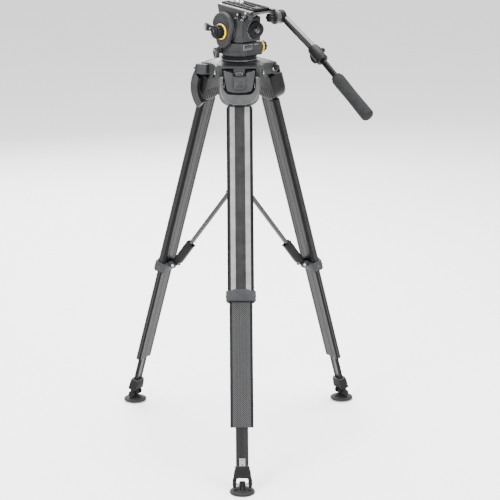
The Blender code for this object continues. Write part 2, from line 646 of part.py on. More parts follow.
def tilt_platform(tilt):
    """Deck between two cheeks on the tilt shaft, with rails on top and the pan bar's rosette behind."""
    deck = block("tilt_platform", tilt, (0.0820, 0.1150, 0.0045), (0, -0.0227, 0.0542))
    for side, cheek_x in ((-1, -0.0375), (1, 0.0385)):
        rail = block(f"rail_{side}", tilt, (0.0085, 0.1150, 0.0080), (side * 0.03675, -0.0227, 0.0550))
        lip = block(f"rail_lip_{side}", tilt, (0.0110, 0.1150, 0.0020), (side * 0.0355, -0.0227, 0.0595))
        cheek = rod_shape(f"cheek_{side}", tilt, 0.0260, 0.0040, (cheek_x, 0, 0), "x", 32)
        neck = block(f"cheek_neck_{side}", tilt, (0.0040, 0.0420, 0.0560), (cheek_x, -0.0010, 0.0280))
        add(deck, rail, lip, cheek, neck)
    arch = [(-0.041, 0.0562), (-0.041, 0.0400), (-0.0360, 0.0400), (-0.0300, 0.0490), (-0.0190, 0.0535),
            (0.0374, 0.0535), (0.0382, 0.0300), (0.0410, 0.0300), (0.0410, 0.0562)]
    end_plate = outline_plate("end_plate", tilt, arch, 0.0080, (0, -0.0762, 0), (pi / 2, 0, 0))
    lug = rod_shape("rosette_lug", tilt, 0.0170, 0.0120, (0.0440, *ROSETTE), "x", 32)
    bolt_hole = rod_shape("rosette_hole", tilt, 0.0033, 0.0600, (0.0400, *ROSETTE), "x", 16)
    shaft_hole = rod_shape("shaft_hole", tilt, 0.0125, 0.1000, (0, 0, 0), "x", 24)
    add(deck, end_plate, lug)
    cut(deck, bolt_hole, shaft_hole)
    return coat(deck, CASTING)


def sliding_plate(tilt):
    """Camera plate that slides between the rails."""
    frame = joint_frame("plate_slide", tilt)
    plate = block("sliding_plate", frame, (0.0580, 0.1080, 0.0070), (0, -0.0180, 0.0604), round_along="z",
                  radius=0.003, segments=1)
    groove = block("screw_groove", frame, (0.0125, 0.0700, 0.0030), (0, -0.0180, 0.0630))
    for side in (-1, 1):
        pad = block(f"plate_strip_{side}", frame, (0.0130, 0.0980, 0.0014), (side * 0.0175, -0.0180, 0.0644))
        add(plate, pad)
    cut(plate, groove)
    coat(plate, BLACK_PLASTIC)
    screw = rod_shape("camera_screw", frame, 0.0048, 0.0070, (0, -0.0040, 0.0653), "z", 20)
    pin = rod_shape("camera_pin", frame, 0.0040, 0.0060, (0, 0.0100, 0.0648), "z", 16)
    coat(screw, STEEL)
    coat(pin, STEEL)


def plate_lever(tilt):
    """Lever under the left rail that frees the camera plate."""
    frame = joint_frame("plate_lever_axis", tilt, (-0.0445, -0.0420, 0.0480))
    outline = [(0.0050, 0.0050), (-0.0050, 0.0050), (-0.0060, -0.0040), (-0.0230, -0.0090),
               (-0.0240, -0.0140), (-0.0030, -0.0100), (0.0060, -0.0030)]
    lever = outline_plate("plate_lever", frame, outline, 0.0050, (0, 0, 0), (pi / 2, 0, pi / 2))
    return coat(soften(lever, 0.001), BLACK_PLASTIC)


# ---------------------------------------------------------------- pan bar

def pan_bar(tilt):
    """Bar on the rosette: an outer tube with a clamp, and an inner rod with a foam grip."""
    clamp_axis = joint_frame("bar_clamp_axis", tilt, (0, *ROSETTE))
    knob = rod_shape("bar_clamp_knob", clamp_axis, 0.0105, 0.0160, (0.0290, 0, 0), "x", 12)
    bolt = rod_shape("bar_clamp_bolt", clamp_axis, 0.0028, 0.0280, (0.0480, 0, 0), "x", 12)
    coat(add(knob, bolt), BLACK_PLASTIC)
    swing = joint_frame("bar_swing", tilt, (0, *ROSETTE), (-TILT_REST, 0, 0))
    bend = Vector((0.0660, -FIRST_TUBE * cos(PAN_BAR_DROP), -FIRST_TUBE * sin(PAN_BAR_DROP)))
    along = Vector((0, -cos(TUBE_DROP), -sin(TUBE_DROP)))
    start = Vector((0.0660, 0.0100 * cos(PAN_BAR_DROP), 0.0100 * sin(PAN_BAR_DROP)))
    line = [start, bend * 0.93 + start * 0.07, bend, bend + along * 0.008, bend + along * SOCKET_LENGTH]
    tube = bent_tube("pan_bar_tube", swing, line, TUBE_RADIUS)
    hub = rod_shape("rosette_hub", swing, 0.0165, 0.0180, (0.0595, 0, 0), "x", 32)
    bolt_hole = rod_shape("hub_bolt_hole", swing, 0.0031, 0.0200, (0.0560, 0, 0), "x", 16)
    socket_turn = (pi / 2 + TUBE_DROP, 0, 0)
    clamp_middle = bend + along * (SOCKET_LENGTH - CLAMP_LENGTH / 2)
    clamp = rod_shape("bar_collar", swing, 0.0140, CLAMP_LENGTH, clamp_middle)
    bore = rod_shape("bar_bore", swing, ROD_RADIUS + 0.0004, 0.0500, bend + along * (SOCKET_LENGTH - 0.0240))
    clamp.rotation_euler = bore.rotation_euler = socket_turn
    add(tube, hub, clamp)
    cut(tube, bore, bolt_hole)
    coat(tube, BLACK_PLASTIC)
    lock_axis = joint_frame("bar_lock_axis", swing, bend + along * (SOCKET_LENGTH - 0.0330), socket_turn)
    lock = rod_shape("bar_lock_knob", lock_axis, 0.0062, 0.0130, (0.0210, 0, 0), "x", 12)
    coat(lock, BLACK_PLASTIC)
    slide = joint_frame("bar_slide", swing, bend + along * SOCKET_LENGTH, socket_turn)
    rod_middle = (0, 0, (ROD_END + ROD_START) / 2)
    rod = rod_shape("pan_bar_rod", slide, ROD_RADIUS, ROD_END - ROD_START, rod_middle, "z", 24)
    coat(rod, BLACK_PLASTIC)
    grip = turned("pan_bar_grip", slide, grip_profile(GRIP_START, GRIP_END), steps=20)
    coat(grip, FOAM)


def grip_profile(start, end):
    """Foam grip from start to end along the rod, closed and rounded at its far end."""
    bore = ROD_RADIUS + FIT
    dome = [(GRIP_RADIUS * sin(a), end - GRIP_RADIUS * 0.6 * (1 - cos(a))) for a in
            (i * (pi / 2) / 6 for i in range(7))]
    return dome + [(GRIP_RADIUS, start + 0.002), (GRIP_RADIUS - 0.002, start), (bore, start), (bore, ROD_END + FIT),
                   (0, ROD_END + FIT)]


# ---------------------------------------------------------------- assembly

def centre_on_floor(root):
    """Moves the whole object so that the origin is at the bottom middle of its box."""
    bpy.context.view_layer.update()
    graph = bpy.context.evaluated_depsgraph_get()
    corners = []
    for obj in TRIPOD.objects:
        if obj.type == "MESH":
            shape = obj.evaluated_get(graph)
            corners += [shape.matrix_world @ Vector(corner) for corner in shape.bound_box]
    low = [min(corner[i] for corner in corners) for i in range(3)]
    high = [max(corner[i] for corner in corners) for i in range(3)]
    root.location = (-(low[0] + high[0]) / 2, -(low[1] + high[1]) / 2, -low[2])
    bpy.context.view_layer.update()


def build():
    root = joint_frame("tripod_root")
    crown(root)
    half_ball(root)
    tie_down_knob(root)
    carry_handle(root)
    hub_frame = spreader_hub(root)
    for name, leg in LEGS.items():
        leg_frame = tripod_leg(name, leg, root)
        spreader_arm(name, leg, hub_frame, leg_frame)
    pan = joint_frame("pan_axis", root, (0, 0, 0), (0, 0, HEAD_YAW))
    pan_base(pan)
    drag_knob("pan", pan, (0.0443, -0.0250, 0.9505), 1, (0.0155, 0.0040, 0.0145, 0.0120))
    pan_brake_lever(pan)
    head_body(pan)
    side_cover(pan)
    drag_knob("tilt", pan, (-0.0572, 0, TILT_HEIGHT), -1, (0.0190, 0.0030, 0.0168, 0.0200))
    tilt_brake_lever(pan)
    balance_knob(pan)
    level_window(pan)
    tilt = joint_frame("tilt_axis", pan, (0, 0, TILT_HEIGHT), (TILT_REST, 0, 0))
    tilt_platform(tilt)
    sliding_plate(tilt)
    plate_lever(tilt)
    pan_bar(tilt)
    centre_on_floor(root)


build()
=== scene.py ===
import json
import random
from math import cos, pi, radians, sin, tau

import bmesh
import bpy
from mathutils import Matrix, Vector


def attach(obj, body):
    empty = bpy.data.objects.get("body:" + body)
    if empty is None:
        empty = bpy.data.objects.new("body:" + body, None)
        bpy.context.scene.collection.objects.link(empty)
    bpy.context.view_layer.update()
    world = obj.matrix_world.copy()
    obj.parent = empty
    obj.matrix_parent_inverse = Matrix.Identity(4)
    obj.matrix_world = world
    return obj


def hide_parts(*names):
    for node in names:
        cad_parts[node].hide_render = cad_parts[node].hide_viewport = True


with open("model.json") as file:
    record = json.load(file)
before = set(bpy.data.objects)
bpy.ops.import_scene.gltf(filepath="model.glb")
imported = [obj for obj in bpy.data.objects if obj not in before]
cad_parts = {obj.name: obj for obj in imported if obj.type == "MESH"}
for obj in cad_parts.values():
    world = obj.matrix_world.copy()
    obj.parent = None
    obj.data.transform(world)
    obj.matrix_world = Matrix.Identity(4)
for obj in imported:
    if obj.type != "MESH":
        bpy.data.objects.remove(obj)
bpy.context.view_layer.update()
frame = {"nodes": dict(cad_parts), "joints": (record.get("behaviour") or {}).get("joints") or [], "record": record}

random.seed(7)
joints = {joint["name"]: joint for joint in frame["joints"]}
legNames = ("front", "right", "left")
print("frame loaded:", len(frame["nodes"]), "nodes")


# frames of the moving groups, read from the joints

def frameAt(origin, across, up):
    x = Vector(across).normalized()
    z = Vector(up)
    z = (z - x * z.dot(x)).normalized()
    turn = Matrix((x, z.cross(x), z)).transposed().to_4x4()
    turn.translation = Vector(origin)
    return turn


def jointSpot(name):
    return Vector(joints[name]["pos_m"])


def jointAxis(name):
    return Vector(joints[name]["axis"])


def shift(x=0, y=0, z=0):
    return Matrix.Translation((x, y, z))


def spin(degrees, axis):
    return Matrix.Rotation(radians(degrees), 4, axis)


bodyOf = {node: body for body, members in frame["record"]["behaviour"]["bodies"].items()
          for node in members}


legFrames = {n: frameAt(jointSpot(f"fold_{n}"), jointAxis(f"fold_{n}"), -jointAxis(f"middle_slide_{n}"))
             for n in legNames}
# the lower stage is drawn with its ankle at this depth
ankleDepth = 0.9125
ankleReach = {n: (jointSpot(f"ankle_{n}") - jointSpot(f"fold_{n}")).length for n in legNames}
lowerFrames = {n: legFrames[n] @ shift(z=ankleDepth - ankleReach[n]) for n in legNames}
padFrames = {n: frameAt(jointSpot(f"ankle_{n}"), jointAxis(f"ankle_{n}"), (0, 0, 1)) for n in legNames}
catchFrames = {n: frameAt(jointSpot(f"catch_tilt_{n}"), jointAxis(f"catch_tilt_{n}"), (0, 0, 1))
               for n in legNames}
leverPivot = {"y": -0.0215, "z": -0.0165}
leverFrames = {n: legFrames[n] @ shift(**leverPivot) for n in legNames}
panSpot = jointSpot("pan_turn")
rootFrame = Matrix.Translation(panSpot)
headFrame = frameAt(panSpot, jointAxis("tilt_nod"), (0, 0, 1))
tiltAcross = jointAxis("tilt_nod")
tiltFrame = frameAt(jointSpot("tilt_nod"), tiltAcross, tiltAcross.cross(jointAxis("plate_travel")))
barFrame = frameAt(jointSpot("bar_swing"), tiltAcross, (0, 0, 1))
barAlong = jointAxis("bar_extend")
lockFrame = frameAt(jointSpot("bar_lock_turn"), tiltAcross, barAlong)
gripAhead = 0.033
gripFrame = lockFrame @ shift(z=gripAhead)
hubFrame = Matrix.Translation(Vector((panSpot.x, panSpot.y, jointSpot("rod_swing_front").z)))
rodFrames, sleeveFrames = {}, {}
for n in legNames:
    top, low = jointSpot(f"rod_swing_{n}"), jointSpot(f"sleeve_swing_{n}")
    across = jointAxis(f"rod_swing_{n}")
    rise = (top - low).normalized()
    rodFrames[n] = frameAt(top, across, across.cross(rise))
    sleeveFrames[n] = frameAt(low, across, across.cross(rise))


# shapes: each one is built as a bmesh in its own frame, in metres

def recalculated(bm):
    bmesh.ops.recalc_face_normals(bm, faces=bm.faces)
    return bm


def prism(outline, low, high, axis="z"):
    # outline runs in (x, y) for z, (x, z) for y and (y, z) for x
    bm = bmesh.new()
    place = {"z": lambda p, h: (p[0], p[1], h), "y": lambda p, h: (p[0], h, p[1]),
             "x": lambda p, h: (h, p[0], p[1])}[axis]
    lower = [bm.verts.new(place(p, low)) for p in outline]
    upper = [bm.verts.new(place(p, high)) for p in outline]
    bm.faces.new(lower)
    bm.faces.new(upper)
    for i in range(len(outline)):
        bm.faces.new((lower[i - 1], lower[i], upper[i], upper[i - 1]))
    return recalculated(bm)


def corners(left, low, right, high):
    return [(left, low), (right, low), (right, high), (left, high)]


def bar(size, centre=(0, 0, 0)):
    x, y, z = (s / 2 for s in size)
    shape = prism(corners(-x, -y, x, y), -z, z)
    return moved(shape, shift(*centre))


def moved(bm, matrix):
    bm.transform(matrix)
    return bm


def softened(bm, width, segments=2, angle=30):
    sharp = [e for e in bm.edges if len(e.link_faces) == 2 and e.calc_face_angle(0) > radians(angle)]
    bmesh.ops.bevel(bm, geom=sharp, offset=width, segments=segments, profile=0.5, affect="EDGES",
                    clamp_overlap=True)
    return bm


def rounded(outline, radius, steps=4):
    points = []
    for i, corner in enumerate(outline):
        here = Vector(corner)
        before, after = Vector(outline[i - 1]) - here, Vector(outline[(i + 1) % len(outline)]) - here
        a = here + before.normalized() * min(radius, before.length * 0.45)
        b = here + after.normalized() * min(radius, after.length * 0.45)
        for k in range(steps + 1):
            t = k / steps
            points.append(tuple(a * (1 - t) ** 2 + here * 2 * t * (1 - t) + b * t * t))
    return points


def mirrored(half):
    return list(half) + [(-x, y) for x, y in reversed(half) if abs(x) > 1e-9]


def arcPoints(centre, radius, start, end, steps):
    return [(centre[0] + radius * cos(radians(start + (end - start) * i / steps)),
             centre[1] + radius * sin(radians(start + (end - start) * i / steps)))
             for i in range(steps + 1)]


def turnTo(axis):
    return {"z": Matrix(), "x": spin(90, "Y"), "y": spin(-90, "X"), "-y": spin(90, "X"),
            "-x": spin(-90, "Y")}[axis]


def lathe(profile, steps=48, axis="z", centre=(0, 0, 0), ring=False):
    # profile is (radius, height) from the top down the outer side; a ring profile closes on itself
    bm = bmesh.new()
    rows = []
    for radius, height in profile:
        if radius < 1e-7:
            rows.append([bm.verts.new((0, 0, height))])
        else:
            rows.append([bm.verts.new((radius * cos(tau * i / steps), radius * sin(tau * i / steps),
                                       height))
                         for i in range(steps)])
    pairs = list(zip(rows, rows[1:])) + ([(rows[-1], rows[0])] if ring else [])
    for first, second in pairs:
        for i in range(steps):
            patch = [first[i % len(first)], first[(i + 1) % len(first)],
                     second[(i + 1) % len(second)], second[i % len(second)]]
            patch = [v for k, v in enumerate(patch) if v not in patch[:k]]
            if len(patch) > 2:
                bm.faces.new(patch)
    return moved(recalculated(bm), shift(*centre) @ turnTo(axis))


def disc(radius, low, high, edge=0.0005, steps=48, axis="z", centre=(0, 0, 0), inner=0.0):
    edge = min(edge, (high - low) * 0.45)
    outer = [(radius - edge, high), (radius, high - edge), (radius, low + edge), (radius - edge, low)]
    if inner:
        return lathe([(inner, high), *outer, (inner, low)], steps, axis, centre, ring=True)
    return lathe([(0, high), *outer, (0, low)], steps, axis, centre)


def tube(points, radius, steps=14):
    # a round tube along points; radius is one number or one for each point
    spots = [Vector(p) for p in points]
    radii = [radius] * len(spots) if isinstance(radius, float) else radius
    bm = bmesh.new()
    ahead = (spots[1] - spots[0]).normalized()
    side = ahead.orthogonal().normalized()
    rows = []
    for i, spot in enumerate(spots):
        way = (spots[min(i + 1, len(spots) - 1)] - spots[max(i - 1, 0)]).normalized()
        side = (side - way * side.dot(way)).normalized()
        other = way.cross(side)
        ring = [side * cos(tau * k / steps) + other * sin(tau * k / steps) for k in range(steps)]
        rows.append([bm.verts.new(spot + out * radii[i]) for out in ring])
    for first, second in zip(rows, rows[1:]):
        for k in range(steps):
            bm.faces.new((first[k - 1], first[k], second[k], second[k - 1]))
    bm.faces.new(rows[0])
    bm.faces.new(rows[-1])
    return recalculated(bm)


def smoothPath(points, steps=6):
    # a Catmull-Rom line through the points
    spots = [Vector(p) for p in points]
    spots = [spots[0] * 2 - spots[1], *spots, spots[-1] * 2 - spots[-2]]
    line = []
    for a, b, c, d in zip(spots, spots[1:], spots[2:], spots[3:]):
        for k in range(steps):
            t = k / steps
            line.append(0.5 * (2 * b + (c - a) * t + (2 * a - 5 * b + 4 * c - d) * t * t
                               + (3 * b - a - 3 * c + d) * t ** 3))
    return line + [spots[-2]]


def lobed(radius, lobes, depth, steps=10):
    return [((radius - depth * abs(cos(lobes * a / 2)) ** 6) * cos(a),
             (radius - depth * abs(cos(lobes * a / 2)) ** 6) * sin(a))
            for a in (tau * i / (lobes * steps) for i in range(lobes * steps))]


def asObject(bm, name="shape"):
    mesh = bpy.data.meshes.new(name)
    bm.to_mesh(mesh)
    obj = bpy.data.objects.new(name, mesh)
    bpy.context.scene.collection.objects.link(obj)
    return obj


def evaluatedMesh(obj):
    bpy.context.view_layer.update()
    return bpy.data.meshes.new_from_object(obj.evaluated_get(bpy.context.evaluated_depsgraph_get()))


def carved(shape, *cutters, operation="DIFFERENCE"):
    target = asObject(shape)
    helpers = [target]
    for cutter in cutters:
        tool = asObject(cutter, "cutter")
        helpers.append(tool)
        boolean = target.modifiers.new("carve", "BOOLEAN")
        boolean.object, boolean.operation, boolean.solver = tool, operation, "EXACT"
    mesh = evaluatedMesh(target)
    for helper in helpers:
        bpy.data.objects.remove(helper)
    bm = bmesh.new()
    bm.from_mesh(mesh)
    bmesh.ops.remove_doubles(bm, verts=bm.verts, dist=1e-6)
    bmesh.ops.dissolve_limit(bm, angle_limit=radians(0.5), verts=bm.verts, edges=bm.edges)
    return bm


# Geometry Nodes: one item repeated along a row or round a circle

def itemTree(name, material, item="bar"):
    tree = bpy.data.node_groups.new(name, "GeometryNodeTree")
    face = tree.interface
    face.new_socket("Geometry", in_out="INPUT", socket_type="NodeSocketGeometry")
    for label, kind in (("Item size", "NodeSocketVector"), ("Item sides", "NodeSocketInt"),
                        ("Lean", "NodeSocketFloat")):
        face.new_socket(label, in_out="INPUT", socket_type=kind)
    face.new_socket("Geometry", in_out="OUTPUT", socket_type="NodeSocketGeometry")
    nodes, links = tree.nodes, tree.links
    given, made = nodes.new("NodeGroupInput"), nodes.new("NodeGroupOutput")
    if item == "bar":
        shape = nodes.new("GeometryNodeMeshCube")
        links.new(given.outputs["Item size"], shape.inputs["Size"])
        shapeOut = shape.outputs["Mesh"]
    else:
        shape = nodes.new("GeometryNodeMeshCylinder")
        split = nodes.new("ShaderNodeSeparateXYZ")
        links.new(given.outputs["Item size"], split.inputs[0])
        links.new(split.outputs["X"], shape.inputs["Radius"])
        links.new(split.outputs["Z"], shape.inputs["Depth"])
        links.new(given.outputs["Item sides"], shape.inputs["Vertices"])
        shapeOut = shape.outputs["Mesh"]
    facing = nodes.new("GeometryNodeInputNamedAttribute")
    facing.data_type = "FLOAT_VECTOR"
    facing.inputs["Name"].default_value = "facing"
    align = nodes.new("FunctionNodeAlignRotationToVector")
    align.axis = "Z"
    links.new(facing.outputs["Attribute"], align.inputs["Vector"])
    lean = nodes.new("FunctionNodeRotateRotation")
    lean.rotation_space = "LOCAL"
    turn = nodes.new("FunctionNodeAxisAngleToRotation")
    turn.inputs["Axis"].default_value = (0, 0, 1)
    links.new(given.outputs["Lean"], turn.inputs["Angle"])
    links.new(align.outputs["Rotation"], lean.inputs["Rotation"])
    links.new(turn.outputs["Rotation"], lean.inputs["Rotate By"])
    spread = nodes.new("GeometryNodeInstanceOnPoints")
    links.new(given.outputs["Geometry"], spread.inputs["Points"])
    links.new(shapeOut, spread.inputs["Instance"])
    links.new(lean.outputs["Rotation"], spread.inputs["Rotation"])
    real = nodes.new("GeometryNodeRealizeInstances")
    paint = nodes.new("GeometryNodeSetMaterial")
    paint.inputs["Material"].default_value = material
    links.new(spread.outputs["Instances"], real.inputs["Geometry"])
    links.new(real.outputs["Geometry"], paint.inputs["Geometry"])
    links.new(paint.outputs["Geometry"], made.inputs["Geometry"])
    return tree


def spreadItems(tree, places, size, sides=6, lean=0.0):
    # places is a list of (point, facing); returns the repeated items as one bmesh
    mesh = bpy.data.meshes.new("places")
    mesh.from_pydata([p for p, _ in places], [], [])
    facing = mesh.attributes.new("facing", "FLOAT_VECTOR", "POINT")
    for i, (_, way) in enumerate(places):
        facing.data[i].vector = way
    obj = bpy.data.objects.new("places", mesh)
    bpy.context.scene.collection.objects.link(obj)
    modifier = obj.modifiers.new("repeat", "NODES")
    modifier.node_group = tree
    keys = {s.name: s.identifier for s in tree.interface.items_tree if s.in_out == "INPUT"}
    modifier[keys["Item size"]] = size
    modifier[keys["Item sides"]] = sides
    modifier[keys["Lean"]] = lean
    mesh = evaluatedMesh(obj)
    bpy.data.objects.remove(obj)
    bm = bmesh.new()
    bm.from_mesh(mesh)
    return recalculated(bm)


def roundPlaces(count, radius, axis="z", centre=(0, 0, 0), start=0.0, sweep=360.0):
    turn = shift(*centre) @ turnTo(axis)
    angles = [radians(start + sweep * i / count) for i in range(count)]
    return [(turn @ Vector((radius * cos(a), radius * sin(a), 0)),
             turn.to_3x3() @ Vector((cos(a), sin(a), 0)))
            for a in angles]


def rowPlaces(first, last, count, way):
    a, b = Vector(first), Vector(last)
    return [(a.lerp(b, i / max(count - 1, 1)), way) for i in range(count)]


# finishes: procedural, on each piece's own surface map (millimetres) or its object coordinates

def newMaterial(name):
    material = bpy.data.materials.new(name)
    material.use_nodes = True
    tree = material.node_tree
    return material, tree.nodes, tree.links, tree.nodes["Principled BSDF"]


def nodeOf(nodes, kind, **values):
    node = nodes.new(kind)
    for key, value in values.items():
        setattr(node, key, value)
    return node


def mathNode(nodes, links, operation, a, b=None):
    node = nodeOf(nodes, "ShaderNodeMath", operation=operation)
    for socket, value in zip(node.inputs, (a, b)):
        if value is None:
            continue
        if isinstance(value, (int, float)):
            socket.default_value = value
        else:
            links.new(value, socket)
    return node.outputs[0]


def noiseNode(nodes, links, scale, detail=3.0, rough=0.55, stretch=None, source="Object"):
    where = nodes.new("ShaderNodeTexCoord").outputs[source]
    if stretch:
        mapping = nodes.new("ShaderNodeMapping")
        mapping.inputs["Scale"].default_value = stretch
        links.new(where, mapping.inputs["Vector"])
        where = mapping.outputs["Vector"]
    noise = nodes.new("ShaderNodeTexNoise")
    noise.inputs["Scale"].default_value = scale
    noise.inputs["Detail"].default_value = detail
    noise.inputs["Roughness"].default_value = rough
    links.new(where, noise.inputs["Vector"])
    return noise.outputs["Fac"]


def rangeNode(nodes, links, value, low, high, toLow, toHigh):
    node = nodes.new("ShaderNodeMapRange")
    links.new(value, node.inputs["Value"])
    for label, number in (("From Min", low), ("From Max", high), ("To Min", toLow), ("To Max", toHigh)):
        node.inputs[label].default_value = number
    return node.outputs["Result"]


def mixColour(nodes, links, factor, dark, light):
    node = nodeOf(nodes, "ShaderNodeMix", data_type="RGBA")
    links.new(factor, node.inputs["Factor"])
    for socket, value in ((node.inputs["A"], dark), (node.inputs["B"], light)):
        if isinstance(value, tuple):
            socket.default_value = (*value, 1.0)
        else:
            links.new(value, socket)
    return node.outputs["Result"]


def bumpFrom(nodes, links, height, strength, distance):
    bump = nodes.new("ShaderNodeBump")
    bump.inputs["Strength"].default_value = strength
    bump.inputs["Distance"].default_value = distance
    links.new(height, bump.inputs["Height"])
    return bump.outputs["Normal"]


def mouldedFinish(name, dark, light, rough, metal=0.0, grain=1400.0, bump=0.25, depth=0.0002, coat=0.0,
                  patch=35.0, brushed=None, shine=0.12):
    # a surface whose shade and gloss drift in patches, over a fine grain
    material, nodes, links, shader = newMaterial(name)
    patches = noiseNode(nodes, links, patch, 4.0, 0.6)
    fine = noiseNode(nodes, links, grain, 2.0, 0.6, brushed)
    shade = rangeNode(nodes, links, patches, 0.3, 0.7, 0.0, 1.0)
    speck = rangeNode(nodes, links, fine, 0.35, 0.65, 0.0, 1.0)
    both = mathNode(nodes, links, "ADD", mathNode(nodes, links, "MULTIPLY", shade, 0.6),
                    mathNode(nodes, links, "MULTIPLY", speck, 0.4))
    links.new(mixColour(nodes, links, both, dark, light), shader.inputs["Base Color"])
    links.new(rangeNode(nodes, links, both, 0.0, 1.0, rough[0], rough[1]), shader.inputs["Roughness"])
    links.new(bumpFrom(nodes, links, fine, bump, depth), shader.inputs["Normal"])
    shader.inputs["Metallic"].default_value = metal
    shader.inputs["Specular IOR Level"].default_value = shine
    shader.inputs["Coat Weight"].default_value = coat
    shader.inputs["Coat Roughness"].default_value = 0.12
    return material


def wovenFinish(name, dark, light, tow, hop, coat=0.05):
    # carbon cloth: tows cross over and under on the surface map; hop is how many a tow passes over. The twill
    # pattern is the cloth's own, but its colour is painted sheen: each tow is painted lighter along its crest, and
    # the tows on top lighter than those beneath
    material, nodes, links, shader = newMaterial(name)
    split = nodes.new("ShaderNodeSeparateXYZ")
    links.new(nodes.new("ShaderNodeTexCoord").outputs["UV"], split.inputs[0])
    u = mathNode(nodes, links, "DIVIDE", split.outputs["X"], tow)
    v = mathNode(nodes, links, "DIVIDE", split.outputs["Y"], tow)
    cells = mathNode(nodes, links, "ADD", mathNode(nodes, links, "FLOOR", u),
                     mathNode(nodes, links, "FLOOR", v))
    over = mathNode(nodes, links, "LESS_THAN", mathNode(nodes, links, "FLOORED_MODULO", cells, 2 * hop),
                    hop - 0.5)
    humps = []
    for value in (u, v):
        part = mathNode(nodes, links, "FRACT", value)
        humps.append(mathNode(nodes, links, "SINE", mathNode(nodes, links, "MULTIPLY", part, pi)))
    lift = nodeOf(nodes, "ShaderNodeMix", data_type="FLOAT")
    links.new(over, lift.inputs["Factor"])
    links.new(humps[1], lift.inputs["A"])
    links.new(humps[0], lift.inputs["B"])
    height = lift.outputs["Result"]
    strands = noiseNode(nodes, links, 900.0, 2.0, 0.5)
    # painted sheen: lighter along each tow's crest and on the tows that lie on top
    paintedSheen = mathNode(nodes, links, "MULTIPLY", height, rangeNode(nodes, links, over, 0.0, 1.0, 0.25, 1.0))
    paintedSheen = mathNode(nodes, links, "MULTIPLY", paintedSheen, rangeNode(nodes, links, strands, 0.3, 0.7, 0.65, 1.15))
    links.new(mixColour(nodes, links, paintedSheen, dark, light), shader.inputs["Base Color"])
    links.new(rangeNode(nodes, links, over, 0.0, 1.0, 0.28, 0.42), shader.inputs["Roughness"])
    links.new(bumpFrom(nodes, links, height, 0.35, 0.0003), shader.inputs["Normal"])
    shader.inputs["Metallic"].default_value = 0.1
    shader.inputs["Specular IOR Level"].default_value = 0.1
    shader.inputs["Coat Weight"].default_value = coat
    shader.inputs["Coat Roughness"].default_value = 0.08
    return material


def grey(shade, cast=1.0):
    # a grey with a slight blue cast
    return shade, round(shade * (1 + 0.02 * cast), 4), round(shade * (1 + 0.06 * cast), 4)


